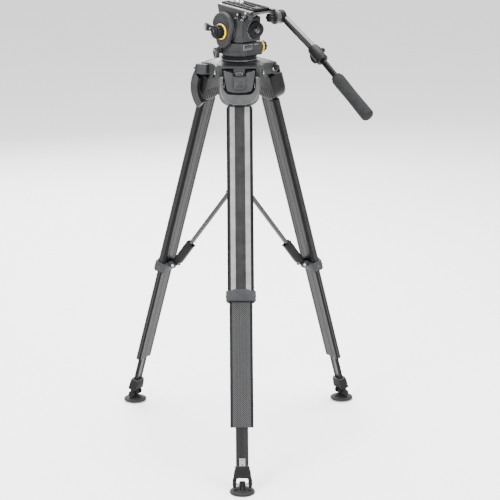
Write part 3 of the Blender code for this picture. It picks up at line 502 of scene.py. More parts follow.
finishes = {
    "castGrey": mouldedFinish("powder_coated_casting", grey(0.02), grey(0.036), (0.42, 0.6),
                              0.25, grain=1900.0, bump=0.35),
    "castDark": mouldedFinish("dark_casting", grey(0.0055), grey(0.012), (0.38, 0.55),
                              0.2, grain=1900.0, bump=0.35),
    # lighter grey: on the leg heads' outward faces it is a painted reflection; the tilt rosette and its teeth use
    # it too
    "yokeGrey": mouldedFinish("yoke_grey_and_painted_reflection", grey(0.04), grey(0.066), (0.3, 0.42), 0.45, grain=2400.0,
                              bump=0.2, coat=0.15),
    "collarGrey": mouldedFinish("blue_grey_moulding", (0.02, 0.0208, 0.0224), (0.034, 0.0354, 0.0381),
                                (0.42, 0.58), 0.1, grain=1500.0, bump=0.4),
    "blackMoulding": mouldedFinish("black_moulding", grey(0.0018), grey(0.005), (0.34, 0.52),
                                   0.0, grain=1700.0, bump=0.4),
    "blackGloss": mouldedFinish("black_lacquer", grey(0.0012), grey(0.003), (0.18, 0.3), 0.0, grain=700.0,
                                bump=0.06, coat=0.45, shine=0.3),
    "rubber": mouldedFinish("black_rubber", grey(0.004), grey(0.01), (0.62, 0.85), 0.0, grain=1100.0,
                            bump=0.6, depth=0.0003),
    "padRubber": mouldedFinish("worn_pad_rubber", grey(0.01), grey(0.022), (0.55, 0.8), 0.0, grain=900.0,
                               bump=0.6, depth=0.0003),
    "foam": mouldedFinish("closed_cell_foam", grey(0.008), grey(0.02), (0.8, 0.97), 0.0, grain=1500.0,
                          bump=0.9, depth=0.0005, patch=60.0),
    "yellow": mouldedFinish("yellow_moulding", (0.86, 0.5, 0.002), (0.98, 0.62, 0.004), (0.3, 0.42), 0.0,
                            grain=1200.0, bump=0.15, coat=0.3),
    "steel": mouldedFinish("bright_steel", (0.34, 0.34, 0.35), (0.58, 0.58, 0.59), (0.18, 0.34), 1.0,
                           grain=260.0, bump=0.12, brushed=(1.0, 1.0, 14.0)),
    "rodAlloy": mouldedFinish("dark_anodised_rod", grey(0.004), grey(0.01), (0.2, 0.34), 0.8, grain=260.0,
                              bump=0.1, brushed=(1.0, 1.0, 10.0)),
    # light grey for printed marks; the same grey is also laid on the pan brake and plate release levers as painted
    # highlights
    "greyMarkAndHighlight": mouldedFinish("light_grey_print_and_painted_highlight", grey(0.1), grey(0.17), (0.45, 0.6),
                              0.1, grain=900.0, bump=0.1),
    "glass": mouldedFinish("display_glass", (0.0015, 0.002, 0.0024), (0.003, 0.0036, 0.004), (0.05, 0.1),
                           0.0, grain=300.0, bump=0.02, coat=1.0),
    "weaveBright": wovenFinish("carbon_cloth_open", grey(0.004), grey(0.085), 2.3, 1),
    "weaveFine": wovenFinish("carbon_cloth_fine", grey(0.003), grey(0.026), 1.5, 2, coat=0.0),
    "weaveDark": wovenFinish("carbon_cloth_dark", grey(0.0015), grey(0.006), 2.0, 2, coat=0.0),
    # painted reflection: the light grey of these strips stands in for the lamps reflected in the glossy front of
    # the upper tubes
    "strip": mouldedFinish("painted_reflection_strip", grey(0.13, 0.3), grey(0.27, 0.3), (0.26, 0.4), 0.35,
                           grain=420.0, bump=0.1, coat=0.4, brushed=(14.0, 14.0, 0.6)),
    "ridge": mouldedFinish("lacquered_ridge", grey(0.012, 0.3), grey(0.03, 0.3), (0.28, 0.42), 0.3,
                           grain=420.0, bump=0.1, coat=0.3, brushed=(14.0, 14.0, 0.6)),
    "bolt": mouldedFinish("dark_steel", (0.05, 0.05, 0.052), (0.11, 0.11, 0.114), (0.26, 0.4),
                          0.8, grain=400.0, bump=0.1),
    "handleGrey": mouldedFinish("handle_moulding", (0.018, 0.0185, 0.0196), (0.032, 0.033, 0.0349),
                                (0.4, 0.55), 0.1, grain=1500.0, bump=0.4),
    # a lighter grey laid on the upward faces of the platform rails
    "railUpperGrey": mouldedFinish("rail_upper_faces_grey", grey(0.1), grey(0.2), (0.28, 0.42), 0.6, grain=500.0,
                              bump=0.1, brushed=(14.0, 1.0, 14.0)),
    # painted highlight: this light grey ring stands in for light caught on the upper edge of the bowl
    "highlightRing": mouldedFinish("painted_highlight_ring", grey(0.08), grey(0.14), (0.25, 0.38),
                              0.6, grain=500.0, bump=0.08),
    "glassCell": mouldedFinish("display_cells", (0.03, 0.036, 0.04), (0.055, 0.062, 0.068), (0.1, 0.2),
                               0.0, grain=300.0, bump=0.02),
    "band": mouldedFinish("unidirectional_carbon", grey(0.01, 0.3), grey(0.026, 0.3), (0.26, 0.4), 0.3,
                          grain=420.0, bump=0.15, coat=0.3, brushed=(14.0, 14.0, 0.5)),
}
print("finishes made:", len(finishes))
screwTree = itemTree("socket_heads", finishes["bolt"], "disc")
darkScrewTree = itemTree("socket_recesses", finishes["blackMoulding"], "disc")
barTree = itemTree("grip_bars", finishes["blackMoulding"])
markTree = itemTree("dial_marks", finishes["blackMoulding"])
rivetTree = itemTree("rivet_heads", finishes["greyMarkAndHighlight"], "disc")


# pieces: the parts of one piece are joined, mapped, placed in the frame and set on their body

def makePiece(name, parts, matrix, body, stands=(), smooth=38):
    joined, used = bmesh.new(), []
    for shape, finish in parts:
        mesh = bpy.data.meshes.new("part")
        shape.to_mesh(mesh)
        start = len(joined.faces)
        joined.from_mesh(mesh)
        bpy.data.meshes.remove(mesh)
        joined.faces.ensure_lookup_table()
        for face in joined.faces[start:]:
            label = finish(face) if callable(finish) else finish
            if label not in used:
                used.append(label)
            face.material_index = used.index(label)
            face.smooth = True
    surface = joined.loops.layers.uv.new("surface")
    for face in joined.faces:
        normal = face.normal
        flat = max(range(3), key=lambda i: abs(normal[i]))
        a, b = ((1, 2), (0, 2), (0, 1))[flat]
        for loop in face.loops:
            spot = loop.vert.co
            loop[surface].uv = (spot[a] * 1000, spot[b] * 1000)
    joined.transform(matrix)
    if matrix.determinant() < 0:
        bmesh.ops.reverse_faces(joined, faces=joined.faces)
    obj = asObject(joined, name)
    joined.free()
    for label in used:
        obj.data.materials.append(finishes[label])
    obj.data.set_sharp_from_angle(angle=radians(smooth))
    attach(obj, body)
    if stands:
        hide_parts(*stands)
    return obj


def socketScrews(places, radius=0.0026, proud=0.001):
    # heads with a dark six-sided socket
    heads = spreadItems(screwTree, places, (radius, radius, 2 * proud), 20)
    sockets = spreadItems(darkScrewTree, places, (radius * 0.52, radius * 0.52, 2 * proud + 0.00016), 6)
    return [(heads, "bolt"), (sockets, "blackMoulding")]


# legs: three stages, ribbed carbon skins, cast heads and collars, rubber feet

stage = {"upperHalf": [
    (0, -0.0115), (0.006, -0.0115), (0.0064, -0.012), (0.0075, -0.012), (0.0078, -0.01165),
    (0.0084, -0.01165), (0.0087, -0.012), (0.0103, -0.012), (0.0106, -0.01165), (0.0116, -0.01165),
    (0.012, -0.012), (0.0176, -0.0121), (0.0232, -0.012), (0.0236, -0.01165), (0.0262, -0.0113),
    (0.0284, -0.0103), (0.0299, -0.0088), (0.0307, -0.0071), (0.031, -0.0064), (0.031, -0.005),
    (0.0306, -0.0046), (0.0306, -0.0036), (0.031, -0.0032), (0.031, -0.0018), (0.0306, -0.0014),
    (0.0306, -0.0004), (0.031, 0.0), (0.031, 0.0014), (0.0305, 0.002), (0.0303, 0.0048),
    (0.029, 0.0069), (0.0265, 0.008), (0.0218, 0.008), (0.0211, 0.00735), (0.0122, 0.00735),
    (0.0118, 0.0077), (0.0104, 0.0077), (0.01, 0.00735), (0, 0.00735)],
    "middleHalf": [
    (0, -0.0093), (0.0022, -0.0093), (0.0026, -0.0089), (0.0038, -0.0089), (0.0042, -0.0093),
    (0.0096, -0.0093), (0.01, -0.0089), (0.0112, -0.0089), (0.0116, -0.0093), (0.015, -0.00935),
    (0.0205, -0.00925), (0.0209, -0.0089), (0.0228, -0.0087), (0.0252, -0.0078), (0.0265, -0.0062),
    (0.027, -0.004), (0.027, -0.0028), (0.0266, -0.0024), (0.0266, -0.0012), (0.027, -0.0008),
    (0.027, 0.0009), (0.0264, 0.0036), (0.0246, 0.0053), (0.0196, 0.0053), (0.019, 0.0048),
    (0.0052, 0.0048), (0.0048, 0.00515), (0, 0.00515)],
    "lowerHalf": [
    (0, -0.0065), (0.0088, -0.0065), (0.0092, -0.0068), (0.0118, -0.0068), (0.0138, -0.006),
    (0.0145, -0.0044), (0.0145, -0.0026), (0.0142, -0.0022), (0.0142, -0.0015), (0.0145, -0.0011),
    (0.0145, 0.0008), (0.0137, 0.0022), (0.0118, 0.0028), (0.0092, 0.0028), (0.0088, 0.0025),
    (0, 0.0025)],
    "upperEnds": (-0.5355, -0.0868), "middleEnds": (-0.808, -0.356), "lowerEnds": (-0.8845, -0.5045),
    "middleY": -0.002, "upperBore": (0.0584, 0.0164, -0.01), "middleBore": (0.0506, 0.0112, 0.022),
    # strip: the band of the upper tube's front face that is painted with a lamp reflection
    "middleGuide": (0.03, 0.0106), "strip": (0.012, 0.0234), "ridge": (0.0062, 0.0105),
    "collarDrop": -0.007, "middleOut": {"front": 0.0352, "right": 0.0, "left": 0.0}}


def upperFinish(face):
    spot, normal = face.calc_center_median(), face.normal
    across = abs(spot.x)
    if abs(normal.z) > 0.7 or abs(spot.y + 0.002) < 0.0084 and across < 0.0292:
        return "weaveDark"
    if normal.y < -0.6:
        # between the strip offsets the front face is painted with a lamp reflection
        if stage["strip"][0] < across < stage["strip"][1]:
            return "strip"
        if stage["ridge"][0] < across < stage["ridge"][1] and spot.y < -0.0118:
            return "ridge"
        return "band" if across < stage["strip"][0] else "weaveDark"
    if across > 0.03085 and abs(normal.x) > 0.9:
        return "ridge"
    return "weaveDark"


def middleFinish(face):
    spot, normal = face.calc_center_median(), face.normal
    # the front face gets the open cloth, whose painted sheen is far lighter than that of the dark cloth on the
    # other faces
    if normal.y < -0.6 and abs(spot.x) < 0.021:
        return "weaveBright"
    if abs(spot.x) > 0.02685 and abs(normal.x) > 0.9:
        return "ridge"
    return "weaveDark"


def lowerFinish(face):
    # the front face gets the fine cloth, whose painted sheen is lighter than that of the dark cloth on the other
    # faces
    return "weaveFine" if face.normal.y < -0.5 else "weaveDark"


def legTube(half, ends, inside=None, guide=None):
    shape = prism(mirrored(half), ends[0], ends[1])
    if inside:
        bore = bar((inside[0], inside[1], 0.6), (0, stage["middleY"], ends[0] + inside[2] + 0.3))
        cutters = [bore]
        if guide:
            cutters.append(bar((guide[0], guide[1], 0.08), (0, stage["middleY"], ends[0])))
        return carved(shape, *cutters)
    return shape


head = {"top": -0.0165, "armOut": 0.0485, "front": -0.026, "back": 0.0104, "edge": 0.0052}


def legHead():
    outer = [(head["armOut"], head["top"]), (head["armOut"], -0.048)] + arcPoints((0.0175, -0.051),
                                                                                  0.031, -2, -62, 8)
    outer += [(0.015, -0.0862)]
    outline = outer + [(-x, z) for x, z in reversed(outer)]
    yoke = softened(prism(outline, head["front"], head["back"], "y"), head["edge"], 4, 50)
    inner = [(0.0392, 0.004), (0.0388, -0.038)] + arcPoints((0.015, -0.04), 0.0236,
                                                            0, -62, 7) + [(0.0, -0.0624)]
    inner += [(-x, z) for x, z in reversed(inner[:-1])]
    recess = prism(inner, -0.04, -0.0146, "y")
    step = bar((0.0776, 0.05, 0.03), (0, -0.0079, -0.0085))
    window = prism(rounded([(-0.026, -0.027), (0.026, -0.027), (0.019, -0.05), (-0.019, -0.05)], 0.004),
                   -0.015, -0.0128, "y")
    parts = [(carved(yoke, recess, step, window), headFinish)]
    for side in (-1, 1):
        parts.append((softened(bar((0.0215, 0.015, 0.027), (side * 0.0286, 0.0025, -0.0145)), 0.0015),
                      "castDark"))
        barrel = lathe([(0, 0.0107), (0.0074, 0.0107), (0.009, 0.0092), (0.009, 0.0016), (0.0084, 0.001),
                        (0.0084, -0.001), (0.009, -0.0016), (0.009, -0.0092),
                        (0.0074, -0.0107), (0, -0.0107)],
                       32, "x", (side * 0.0286, 0, 0))
        parts.append((barrel, "castDark"))
        parts.append((disc(0.004, -0.01, 0.01, steps=20, axis="x", centre=(side * 0.043, 0, 0)), "bolt"))
        coil = [(side * 0.0362 + 0.002 * cos(a), -0.0178 + 0.002 * sin(a), -0.03 - 0.00026 * a)
                for a in (tau * i / 12 for i in range(12 * 8))]
        parts.append((tube(coil, 0.0005, 6), "steel"))
    parts.append((bar((0.0578, 0.0158, 0.029), (0, stage["middleY"], -0.0985)), "castDark"))
    ribs = spreadItems(barTree, rowPlaces((-0.032, head["back"] + 0.0002, -0.066),
                                          (0.032, head["back"] + 0.0002, -0.066), 7, (0, 1, 0)),
                                          (0.0018, 0.024, 0.001))
    parts.append((ribs, "castDark"))
    return parts


def headFinish(face):
    spot = face.calc_center_median()
    # the recess behind the brake lever gets the dark casting colour as painted shade; of the other faces, only the
    # outward ones get the lighter grey, a painted reflection
    inRecess = -0.015 < spot.y < 0.01 and abs(spot.x) < 0.0389 and spot.z > -0.063
    return "castDark" if inRecess or face.normal.y > -0.15 else "yokeGrey"


def brakeLever():
    lift = -leverPivot["z"]
    half = [(0.0, -0.019), (0.0152, -0.0182), (0.0158, -0.0085), (0.0262, -0.0062), (0.0376, -0.0015),
            (0.0372, -0.008), (0.0342, -0.029), (0.0306, -0.047), (0.0272, -0.0535), (0.014, -0.0568),
            (0.0, -0.0575)]
    outline = [(x, z + lift) for x, z in half] + [(-x, z + lift) for x, z in reversed(half[1:-1])]
    plate = softened(prism(outline, -0.0062, 0.0058, "y"), 0.0016, 3, 20)
    padOutline = rounded(corners(-0.0133, -0.024 + lift, 0.0133, -0.05 + lift), 0.005, 5)
    grooveOutline = rounded(corners(-0.0145, -0.015 + lift, 0.0145, -0.0514 + lift), 0.0058, 5)
    plate = carved(plate, prism(grooveOutline, -0.009, -0.0052, "y"))
    pad = softened(prism(padOutline, -0.007, -0.004, "y"), 0.0009, 2, 20)
    arch = [(0.0086 * cos(a), -0.00725, -0.0478 + lift + 0.0072 * sin(a)) for a in
            (radians(18 + 144 * i / 14) for i in range(15))]
    parts = [(plate, "castGrey"), (pad, "castGrey"), (tube(arch, 0.00055, 8), "castDark")]
    parts.append((disc(0.0022, -0.043, 0.043, steps=16, axis="x"), "castDark"))
    for side in (-1, 1):
        crease = [(side * 0.0166, -0.0064, 0.007), (side * 0.0176, -0.0066, -0.03)]
        parts.append((tube(crease, 0.0007, 8), "castGrey"))
    return parts


def legCollar():
    half = [(0.0, -0.017), (0.03, -0.017), (0.0335, -0.015), (0.035, -0.011), (0.035, 0.007),
            (0.0335, 0.011), (0.03, 0.013), (0.0, 0.013)]
    block = softened(prism(mirrored(half), -0.5435, -0.5195), 0.0012, 2, 35)
    face = rounded([(-0.0245, -0.5438), (0.0245, -0.5438), (0.0245, -0.5225), (0.018, -0.5166),
                    (-0.018, -0.5166), (-0.0245, -0.5225)], 0.0035, 4)
    tab = softened(prism(face, -0.0178, -0.01, "y"), 0.001, 2, 20)
    pocket = bar((0.0626, 0.0206, 0.04), (0, stage["middleY"], -0.5285 + 0.0197))
    slot = bar((0.055, 0.0156, 0.06), (0, stage["middleY"], -0.53))
    parts = [(carved(carved(block, tab, operation="UNION"), pocket, slot), "collarGrey")]
    skirt = softened(prism(mirrored([(0, -0.0146), (0.03, -0.0146), (0.0318, -0.0128), (0.0318, 0.009),
                                     (0.03, 0.0104), (0, 0.0104)]), -0.5462, -0.5434), 0.0006)
    parts.append((carved(skirt, bar((0.0552, 0.0158, 0.02), (0, stage["middleY"], -0.5445))), "rubber"))
    for side in (-1, 1):
        ear = rounded([(0.011, -0.5145), (0.023, -0.5145), (0.032, -0.5185), (0.032, -0.526),
                       (0.011, -0.5295)],
                      0.003, 3)
        parts.append((softened(prism(ear, side * 0.0112 - 0.00225, side * 0.0112 + 0.00225, "x"), 0.0006),
                      "collarGrey"))
    screws = rowPlaces((-0.03, -0.0166, -0.5315), (0.03, -0.0166, -0.5315), 2, (0, -1, 0))
    parts += socketScrews(screws, 0.0019, 0.0006)
    parts += socketScrews([((0.0352, -0.002, -0.5315), (1, 0, 0)),
                           ((-0.0352, -0.002, -0.5315), (-1, 0, 0))], 0.0026, 0.0006)
    return [(moved(shape, shift(z=stage["collarDrop"])), label) for shape, label in parts]


foot = {"pivot": -ankleDepth, "clipZ": (-0.8728, -0.854), "sole": -0.0192, "padRadius": 0.029}


def footAnkle():
    z = foot["pivot"]
    outline = rounded([(-0.016, -0.8722), (0.016, -0.8722), (0.0196, -0.886), (0.0206, -0.901),
                       (0.015, -0.9016), (0.011, -0.8985), (-0.011, -0.8985), (-0.015, -0.9016),
                       (-0.0206, -0.901), (-0.0196, -0.886)], 0.004, 4)
    body = softened(prism(outline, -0.01275, 0.00875, "y"), 0.0024, 3, 30)
    pocket = bar((0.0296, 0.0102, 0.026), (0, stage["middleY"], -0.872))
    parts = [(carved(body, pocket), "rubber")]
    collar = softened(prism(rounded(corners(-0.017, -0.012, 0.017, 0.008),
                                    0.003, 3), -0.8745, -0.8712), 0.0007)
    parts.append((carved(collar, bar((0.0296, 0.0102, 0.02), (0, stage["middleY"], -0.8728))), "castGrey"))
    for side in (-1, 1):
        arm = tube(smoothPath([(side * 0.016, -0.001, -0.896), (side * 0.018, 0, -0.903),
                               (side * 0.0178, 0, z)], 4),
                   0.0046, 14)
        lump = lathe([(0, 0.0048), (0.006, 0.0048), (0.0082, 0.003), (0.0085, 0.0), (0.0082, -0.0026),
                      (0.006, -0.003), (0, -0.003)], 28, "x" if side > 0 else "-x", (side * 0.0172, 0, z))
        parts += [(arm, "rubber"), (lump, "rubber")]
        pin = disc(0.003, -0.0006, 0.0056, 0.0004, 20, "x" if side > 0 else "-x", (side * 0.0172, 0, z))
        parts.append((pin, "blackMoulding"))
    parts.append((disc(0.0028, -0.017, 0.017, steps=16, axis="x", centre=(0, 0, z)), "steel"))
    clip = rounded([(-0.0068, foot["clipZ"][0]), (0.0068, foot["clipZ"][0]),
                    (0.0068, foot["clipZ"][1] + 0.001), (0.005, foot["clipZ"][1]),
                    (-0.005, foot["clipZ"][1]), (-0.0068, foot["clipZ"][1] + 0.001)], 0.0016)
    plate = softened(prism(clip, -0.0083, -0.0069, "y"), 0.0003, 1)
    hole = disc(0.0016, -0.002, 0.002, steps=16, axis="y", centre=(0, -0.0076, -0.868))
    parts.append((carved(plate, hole), "steel"))
    hook = [(0.003 * cos(a), -0.0087, -0.8606 + 0.003 * sin(a))
            for a in (radians(15 + 150 * i / 10) for i in range(11))]
    parts.append((tube(hook, 0.0005, 8), "castDark"))
    grips = spreadItems(barTree, rowPlaces((0, -0.01275, -0.88), (0, -0.01275, -0.888), 3, (0, -1, 0)),
                        (0.022, 0.0012, 0.0012))
    parts.append((grips, "rubber"))
    return parts


def footPad():
    floor, radius = foot["sole"], foot["padRadius"]
    profile = [(0, floor + 0.0082), (0.013, floor + 0.008), (0.02, floor + 0.007), (0.0262, floor + 0.0056),
               (0.0284, floor + 0.0044), (radius, floor + 0.003), (radius, floor + 0.0012), (0.028, floor),
               (0.024, floor), (0.0234, floor + 0.0008), (0.018, floor + 0.0008), (0.0174, floor),
               (0, floor)]
    parts = [(lathe(profile, 56), "padRubber")]
    post = prism(rounded([(-0.0075, 0.002), (-0.0066, -0.008), (-0.009, -0.012), (0.009, -0.012),
                          (0.0066, -0.008), (0.0075, 0.002)], 0.002), -0.006, 0.006, "x")
    parts.append((softened(post, 0.0012), "rubber"))
    eye = disc(0.0078, -0.007, 0.007, 0.0014, 32, "x", inner=0.0031)
    parts.append((eye, "rubber"))
    for side in (-1, 1):
        web = tube(smoothPath([(0, side * 0.0225, floor + 0.0062), (0, side * 0.013, floor + 0.01),
                               (0, side * 0.007, -0.004)], 4), [0.0014 + 0.001 * i / 8 for i in range(9)],
                               10)
        rim = tube(smoothPath([(side * 0.0215, -0.004, floor + 0.0066),
                               (side * 0.014, -0.0035, floor + 0.0098),
                               (side * 0.008, -0.003, floor + 0.0104)], 4), 0.0013, 10)
        parts += [(web, "padRubber"), (rim, "padRubber")]
    treads = spreadItems(barTree, roundPlaces(28, 0.0207, centre=(0, 0, floor + 0.0006)),
                         (0.001, 0.0013, 0.0052))
    parts.append((treads, "padRubber"))
    parts.append((tube([(0.0048 * cos(a), 0.0048 * sin(a) - 0.0005, 0.0062)
                        for a in (tau * i / 18 for i in range(19))],
                       0.0009, 8), "rubber"))
    return parts


def angleCatch():
    outline = rounded([(-0.014, 0.0028), (0.014, 0.0028), (0.014, -0.012), (0.0112, -0.0178),
                       (0.006, -0.0185), (-0.006, -0.0185), (-0.0112, -0.0178), (-0.014, -0.012)],
                       0.0022, 3)
    tongue = softened(prism(outline, -0.0042, 0.0032, "y"), 0.001, 2, 20)
    raised = rounded(corners(-0.0088, -0.0058, 0.0088, -0.0122), 0.0022, 4)
    well = rounded(corners(-0.0064, -0.0072, 0.0064, -0.0108), 0.0014, 4)
    frameRing = carved(prism(raised, -0.0052, -0.004, "y"), prism(well, -0.006, -0.0036, "y"))
    return [(tongue, "castGrey"), (frameRing, "greyMarkAndHighlight"),
            (disc(0.0016, -0.0165, 0.0165, steps=14, axis="x", centre=(0, 0, 0.0008)), "castDark")]


for n in legNames:
    matrix = legFrames[n]
    upper = legTube(stage["upperHalf"], stage["upperEnds"], stage["upperBore"])
    makePiece(f"upper_tube_{n}", [(upper, upperFinish)], matrix, f"leg_{n}", [f"leg_upper_{n}"])
    makePiece(f"head_casting_{n}", legHead(), matrix, f"leg_{n}", [f"leg_head_{n}"])
    makePiece(f"collar_{n}", legCollar(), matrix, f"leg_{n}", [f"leg_collar_{n}"])
    makePiece(f"brake_shield_{n}", brakeLever(), leverFrames[n], f"lever_{n}", [f"brake_lever_{n}"])
    middle = legTube(stage["middleHalf"], stage["middleEnds"], stage["middleBore"], stage["middleGuide"])
    makePiece(f"middle_tube_{n}", [(middle, middleFinish)], matrix @ shift(z=-stage["middleOut"][n]),
              f"middle_{n}", [f"leg_middle_{n}"])
    makePiece(f"lower_bar_{n}", [(legTube(stage["lowerHalf"], stage["lowerEnds"]), lowerFinish)],
              lowerFrames[n], f"lower_{n}", [f"leg_lower_{n}"])
    makePiece(f"ankle_{n}", footAnkle(), lowerFrames[n], f"lower_{n}", [f"foot_ankle_{n}"])
    makePiece(f"pad_{n}", footPad(), padFrames[n], f"pad_{n}", [f"foot_pad_{n}"])
    makePiece(f"angle_tongue_{n}", angleCatch(), catchFrames[n], f"catch_{n}", [f"angle_catch_{n}"])
print("legs made")


# crown, bowl, draw bolt and carry handle

azimuths = {"front": -90, "right": 30, "left": 150}
crownSize = {"reach": 0.0765, "half": 0.056, "fork": 0.0405, "bottom": 0.889, "top": 0.9165, "waist": 0.072,
             "hinge": 0.065, "hingeZ": 0.9, "bowl": 0.038, "ball": 0.0375, "bowlZ": 0.9245}


def crownCasting():
    s = crownSize
    plan, cutters = [], []
    for azimuth in azimuths.values():
        turn = spin(azimuth, "Z")
        lobe = [(0.06, -s["half"]), (0.0725, -s["half"]), (s["reach"], -0.051), (s["reach"], 0.051),
                (0.0725, s["half"]), (0.06, s["half"])]
        plan += [tuple((turn @ Vector((x, y, 0)))[:2]) for x, y in lobe]
        plan.append(tuple((spin(azimuth + 60, "Z") @ Vector((s["waist"], 0, 0)))[:2]))
        cutters.append(moved(bar((0.067, 2 * s["fork"], 0.0325), (0.0795, 0, 0.895)), turn))
    body = softened(prism(rounded(plan, 0.005, 3), s["bottom"], s["top"]), 0.0026, 3, 50)
    cup = lathe([(0, 0.919), (0.0426, 0.919), (0.0438, 0.918), (0.0438, 0.8815), (0.0418, 0.8795),
                 (0, 0.8795)], 64)
    slope = lathe([(0, 0.9205), (0.0446, 0.9205), (0.0456, 0.9198), (0.05, 0.918), (0.058, 0.9162),
                   (0.062, 0.915), (0.062, 0.911), (0, 0.911)], 72)
    seat = [(s["bowl"] * cos(radians(a)), s["bowlZ"] - s["bowl"] * sin(radians(a)))
            for a in range(0, 60, 6)]
    cutters.append(lathe([(0, 0.94), (s["bowl"], 0.94), *seat, (0.0195, 0.892), (0.0195, 0.86), (0, 0.86)],
                         48))
    parts = [(carved(carved(body, cup, slope, operation="UNION"), *cutters), crownFinish)]
    for azimuth in azimuths.values():
        turn = spin(azimuth, "Z")
        lip = softened(bar((0.0036, 0.098, 0.005), (0.0752, 0, 0.913)), 0.001)
        parts.append((moved(lip, turn), "castGrey"))
        for side, way in ((1, "y"), (-1, "-y")):
            spot = (s["hinge"], side * (s["half"] - 0.0012), s["hingeZ"])
            parts.append((moved(disc(0.0098, 0, 0.0026, 0.0008, 36, way, spot), turn), "castGrey"))
            parts.append((moved(disc(0.005, 0, 0.0044, 0.0005, 6, way, spot), turn), "steel"))
            rib = prism([(0.047, 0.916), (0.07, 0.916), (0.0735, 0.91), (0.0735, 0.905), (0.056, 0.912)],
                        side * 0.047 - 0.0014, side * 0.047 + 0.0014, "y")
            parts.append((moved(softened(moved(rib, shift(z=0.0014)), 0.0008), turn), "castDark"))
        ribs = spreadItems(barTree, rowPlaces((0.07, -0.034, 0.9166), (0.07, 0.034, 0.9166), 9, (0, 0, 1)),
                           (0.007, 0.001, 0.0008))
        parts.append((moved(ribs, turn), "castDark"))
        screws = [((0.0752, y, 0.8925), (1, 0, 0)) for y in (-0.0482, 0.0482)]
        parts += [(moved(shape, turn), label) for shape, label in socketScrews(screws, 0.0026, 0.0014)]
    wing = rounded([(0.05, 0.05), (0.05, 0.07), (0.076, 0.0712), (0.08, 0.069), (0.08, 0.056),
                    (0.07, 0.048)], 0.004, 3)
    parts.append((moved(softened(prism(wing, 0.89, 0.914), 0.0022, 3), spin(150, "Z")), "castGrey"))
    beak = rounded([(0.06, -0.052), (0.076, -0.052), (0.074, -0.062), (0.064, -0.065)], 0.003, 3)
    parts.append((moved(softened(prism(beak, 0.897, 0.911), 0.0016, 3), spin(30, "Z")), "castDark"))
    return parts


def crownFinish(face):
    spot = face.calc_center_median()
    outerWall = abs(face.normal.z) < 0.3 and spot.xy.length > 0.068 and spot.z > crownSize["bottom"]
    return "castGrey" if outerWall else "castDark"


def bowlBall():
    radius, centre = crownSize["ball"], crownSize["bowlZ"]
    ball = [(radius * cos(radians(a)), centre - radius * sin(radians(a))) for a in range(0, 60, 5)]
    flange = [(0, 0.933), (0.042, 0.933), (0.0437, 0.9318), (0.0437, 0.93),
              (0.043, 0.9294), (0.043, 0.9284), (0.0437, 0.9278), (0.0437, 0.9256), (0.0426, 0.9245)]
    thread = [(0.005 if i % 2 else 0.0044, 0.892 - 0.0009 * i) for i in range(94)]
    return [(lathe(flange + ball + [(0.018, 0.893), (0, 0.893)], 72), "blackMoulding"),
            (lathe([(0, 0.8925), (0.005, 0.8925), *thread, (0.0044, 0.8068), (0, 0.8068)], 28), "steel"),
            # the light grey ring round the top of the bowl is a painted highlight
            (lathe([(0.0395, 0.9246), (0.0433, 0.9246), (0.044, 0.9238), (0.044, 0.9226), (0.0395, 0.9226)],
                   72, ring=True), "highlightRing")]


def carryHandle():
    outer = arcPoints((0.018, -0.042), 0.076, 33, -42, 16)
    inner = arcPoints((0.012, -0.042), 0.062, -36, 20, 14)
    outline = [(0.0775, 0.015), (0.0802, 0.01)] + outer + inner + [(0.0775, -0.0116)]
    grip = softened(prism(outline, -0.0075, 0.0075), 0.0036, 4, 45)
    groove = carved(bar((0.016, 0.0009, 0.02), (0.0815, -0.006, 0)),
                    bar((0.0066, 0.002, 0.0134), (0.0815, -0.006, 0)))
    parts = [(carved(grip, groove), handleFinish)]
    ridges = [((0.012 + 0.0622 * cos(a), -0.042 + 0.0622 * sin(a), 0), (0, 0, 1))
              for a in (radians(-30 + 5 * i) for i in range(9))]
    parts.append((spreadItems(barTree, ridges, (0.0011, 0.0011, 0.009)), "blackMoulding"))
    parts += socketScrews([((0.0815, 0.004, 0.0075), (0, 0, 1)), ((0.0815, 0.004, -0.0075), (0, 0, -1))],
                          0.0026, 0.0007)
    return parts


def handleFinish(face):
    spot, normal = face.calc_center_median(), face.normal
    inward = (spot.x - 0.012) * normal.x + (spot.y + 0.042) * normal.y
    return "blackMoulding" if inward < -0.03 else "handleGrey"


def tieDown():
    plate = lathe([(0.0056, 0.0785), (0.0288, 0.0785), (0.03, 0.0774), (0.03, 0.0752), (0.0288, 0.074),
                   (0.017, 0.069), (0.0136, 0.0652), (0.0124, 0.056), (0.012, 0.04), (0.0056, 0.04)],
                   48, ring=True)
    grip = softened(prism(lobed(0.0238, 5, 0.0046, 12), 0.003, 0.044), 0.0028, 3, 40)
    bore = disc(0.0056, -0.01, 0.06, steps=24)
    cap = disc(0.015, 0.0, 0.0036, 0.001, 40, inner=0.0056)
    ribs = [(p, (0, 0, 1)) for p, _ in roundPlaces(16, 0.0126, centre=(0, 0, 0.054))]
    return [(plate, "blackMoulding"), (carved(grip, bore), "blackMoulding"), (cap, "blackMoulding"),
            (spreadItems(barTree, ribs, (0.0014, 0.0014, 0.016)), "blackMoulding")]


handleFrame = rootFrame @ spin(150, "Z") @ shift(y=0.064, z=0.9) @ spin(90, "X")
makePiece("crown_casting", crownCasting(), rootFrame, "tripod_top", ["crown"])
makePiece("bowl_ball", bowlBall(), rootFrame, "tripod_top", ["half_ball"])
makePiece("hand_grip", carryHandle(), handleFrame, "tripod_top", ["carry_handle"])
makePiece("tie_down", tieDown(), rootFrame @ shift(z=0.8), "tie_down", ["tie_down_knob"])
print("crown made")


# mid-level spreader: a hub, three square rods and the sleeves they slide in

spreader = {"pivot": 0.026, "rod": 0.0104, "eyePin": 0.0021, "firstMark": 0.06, "markStep": 0.012}


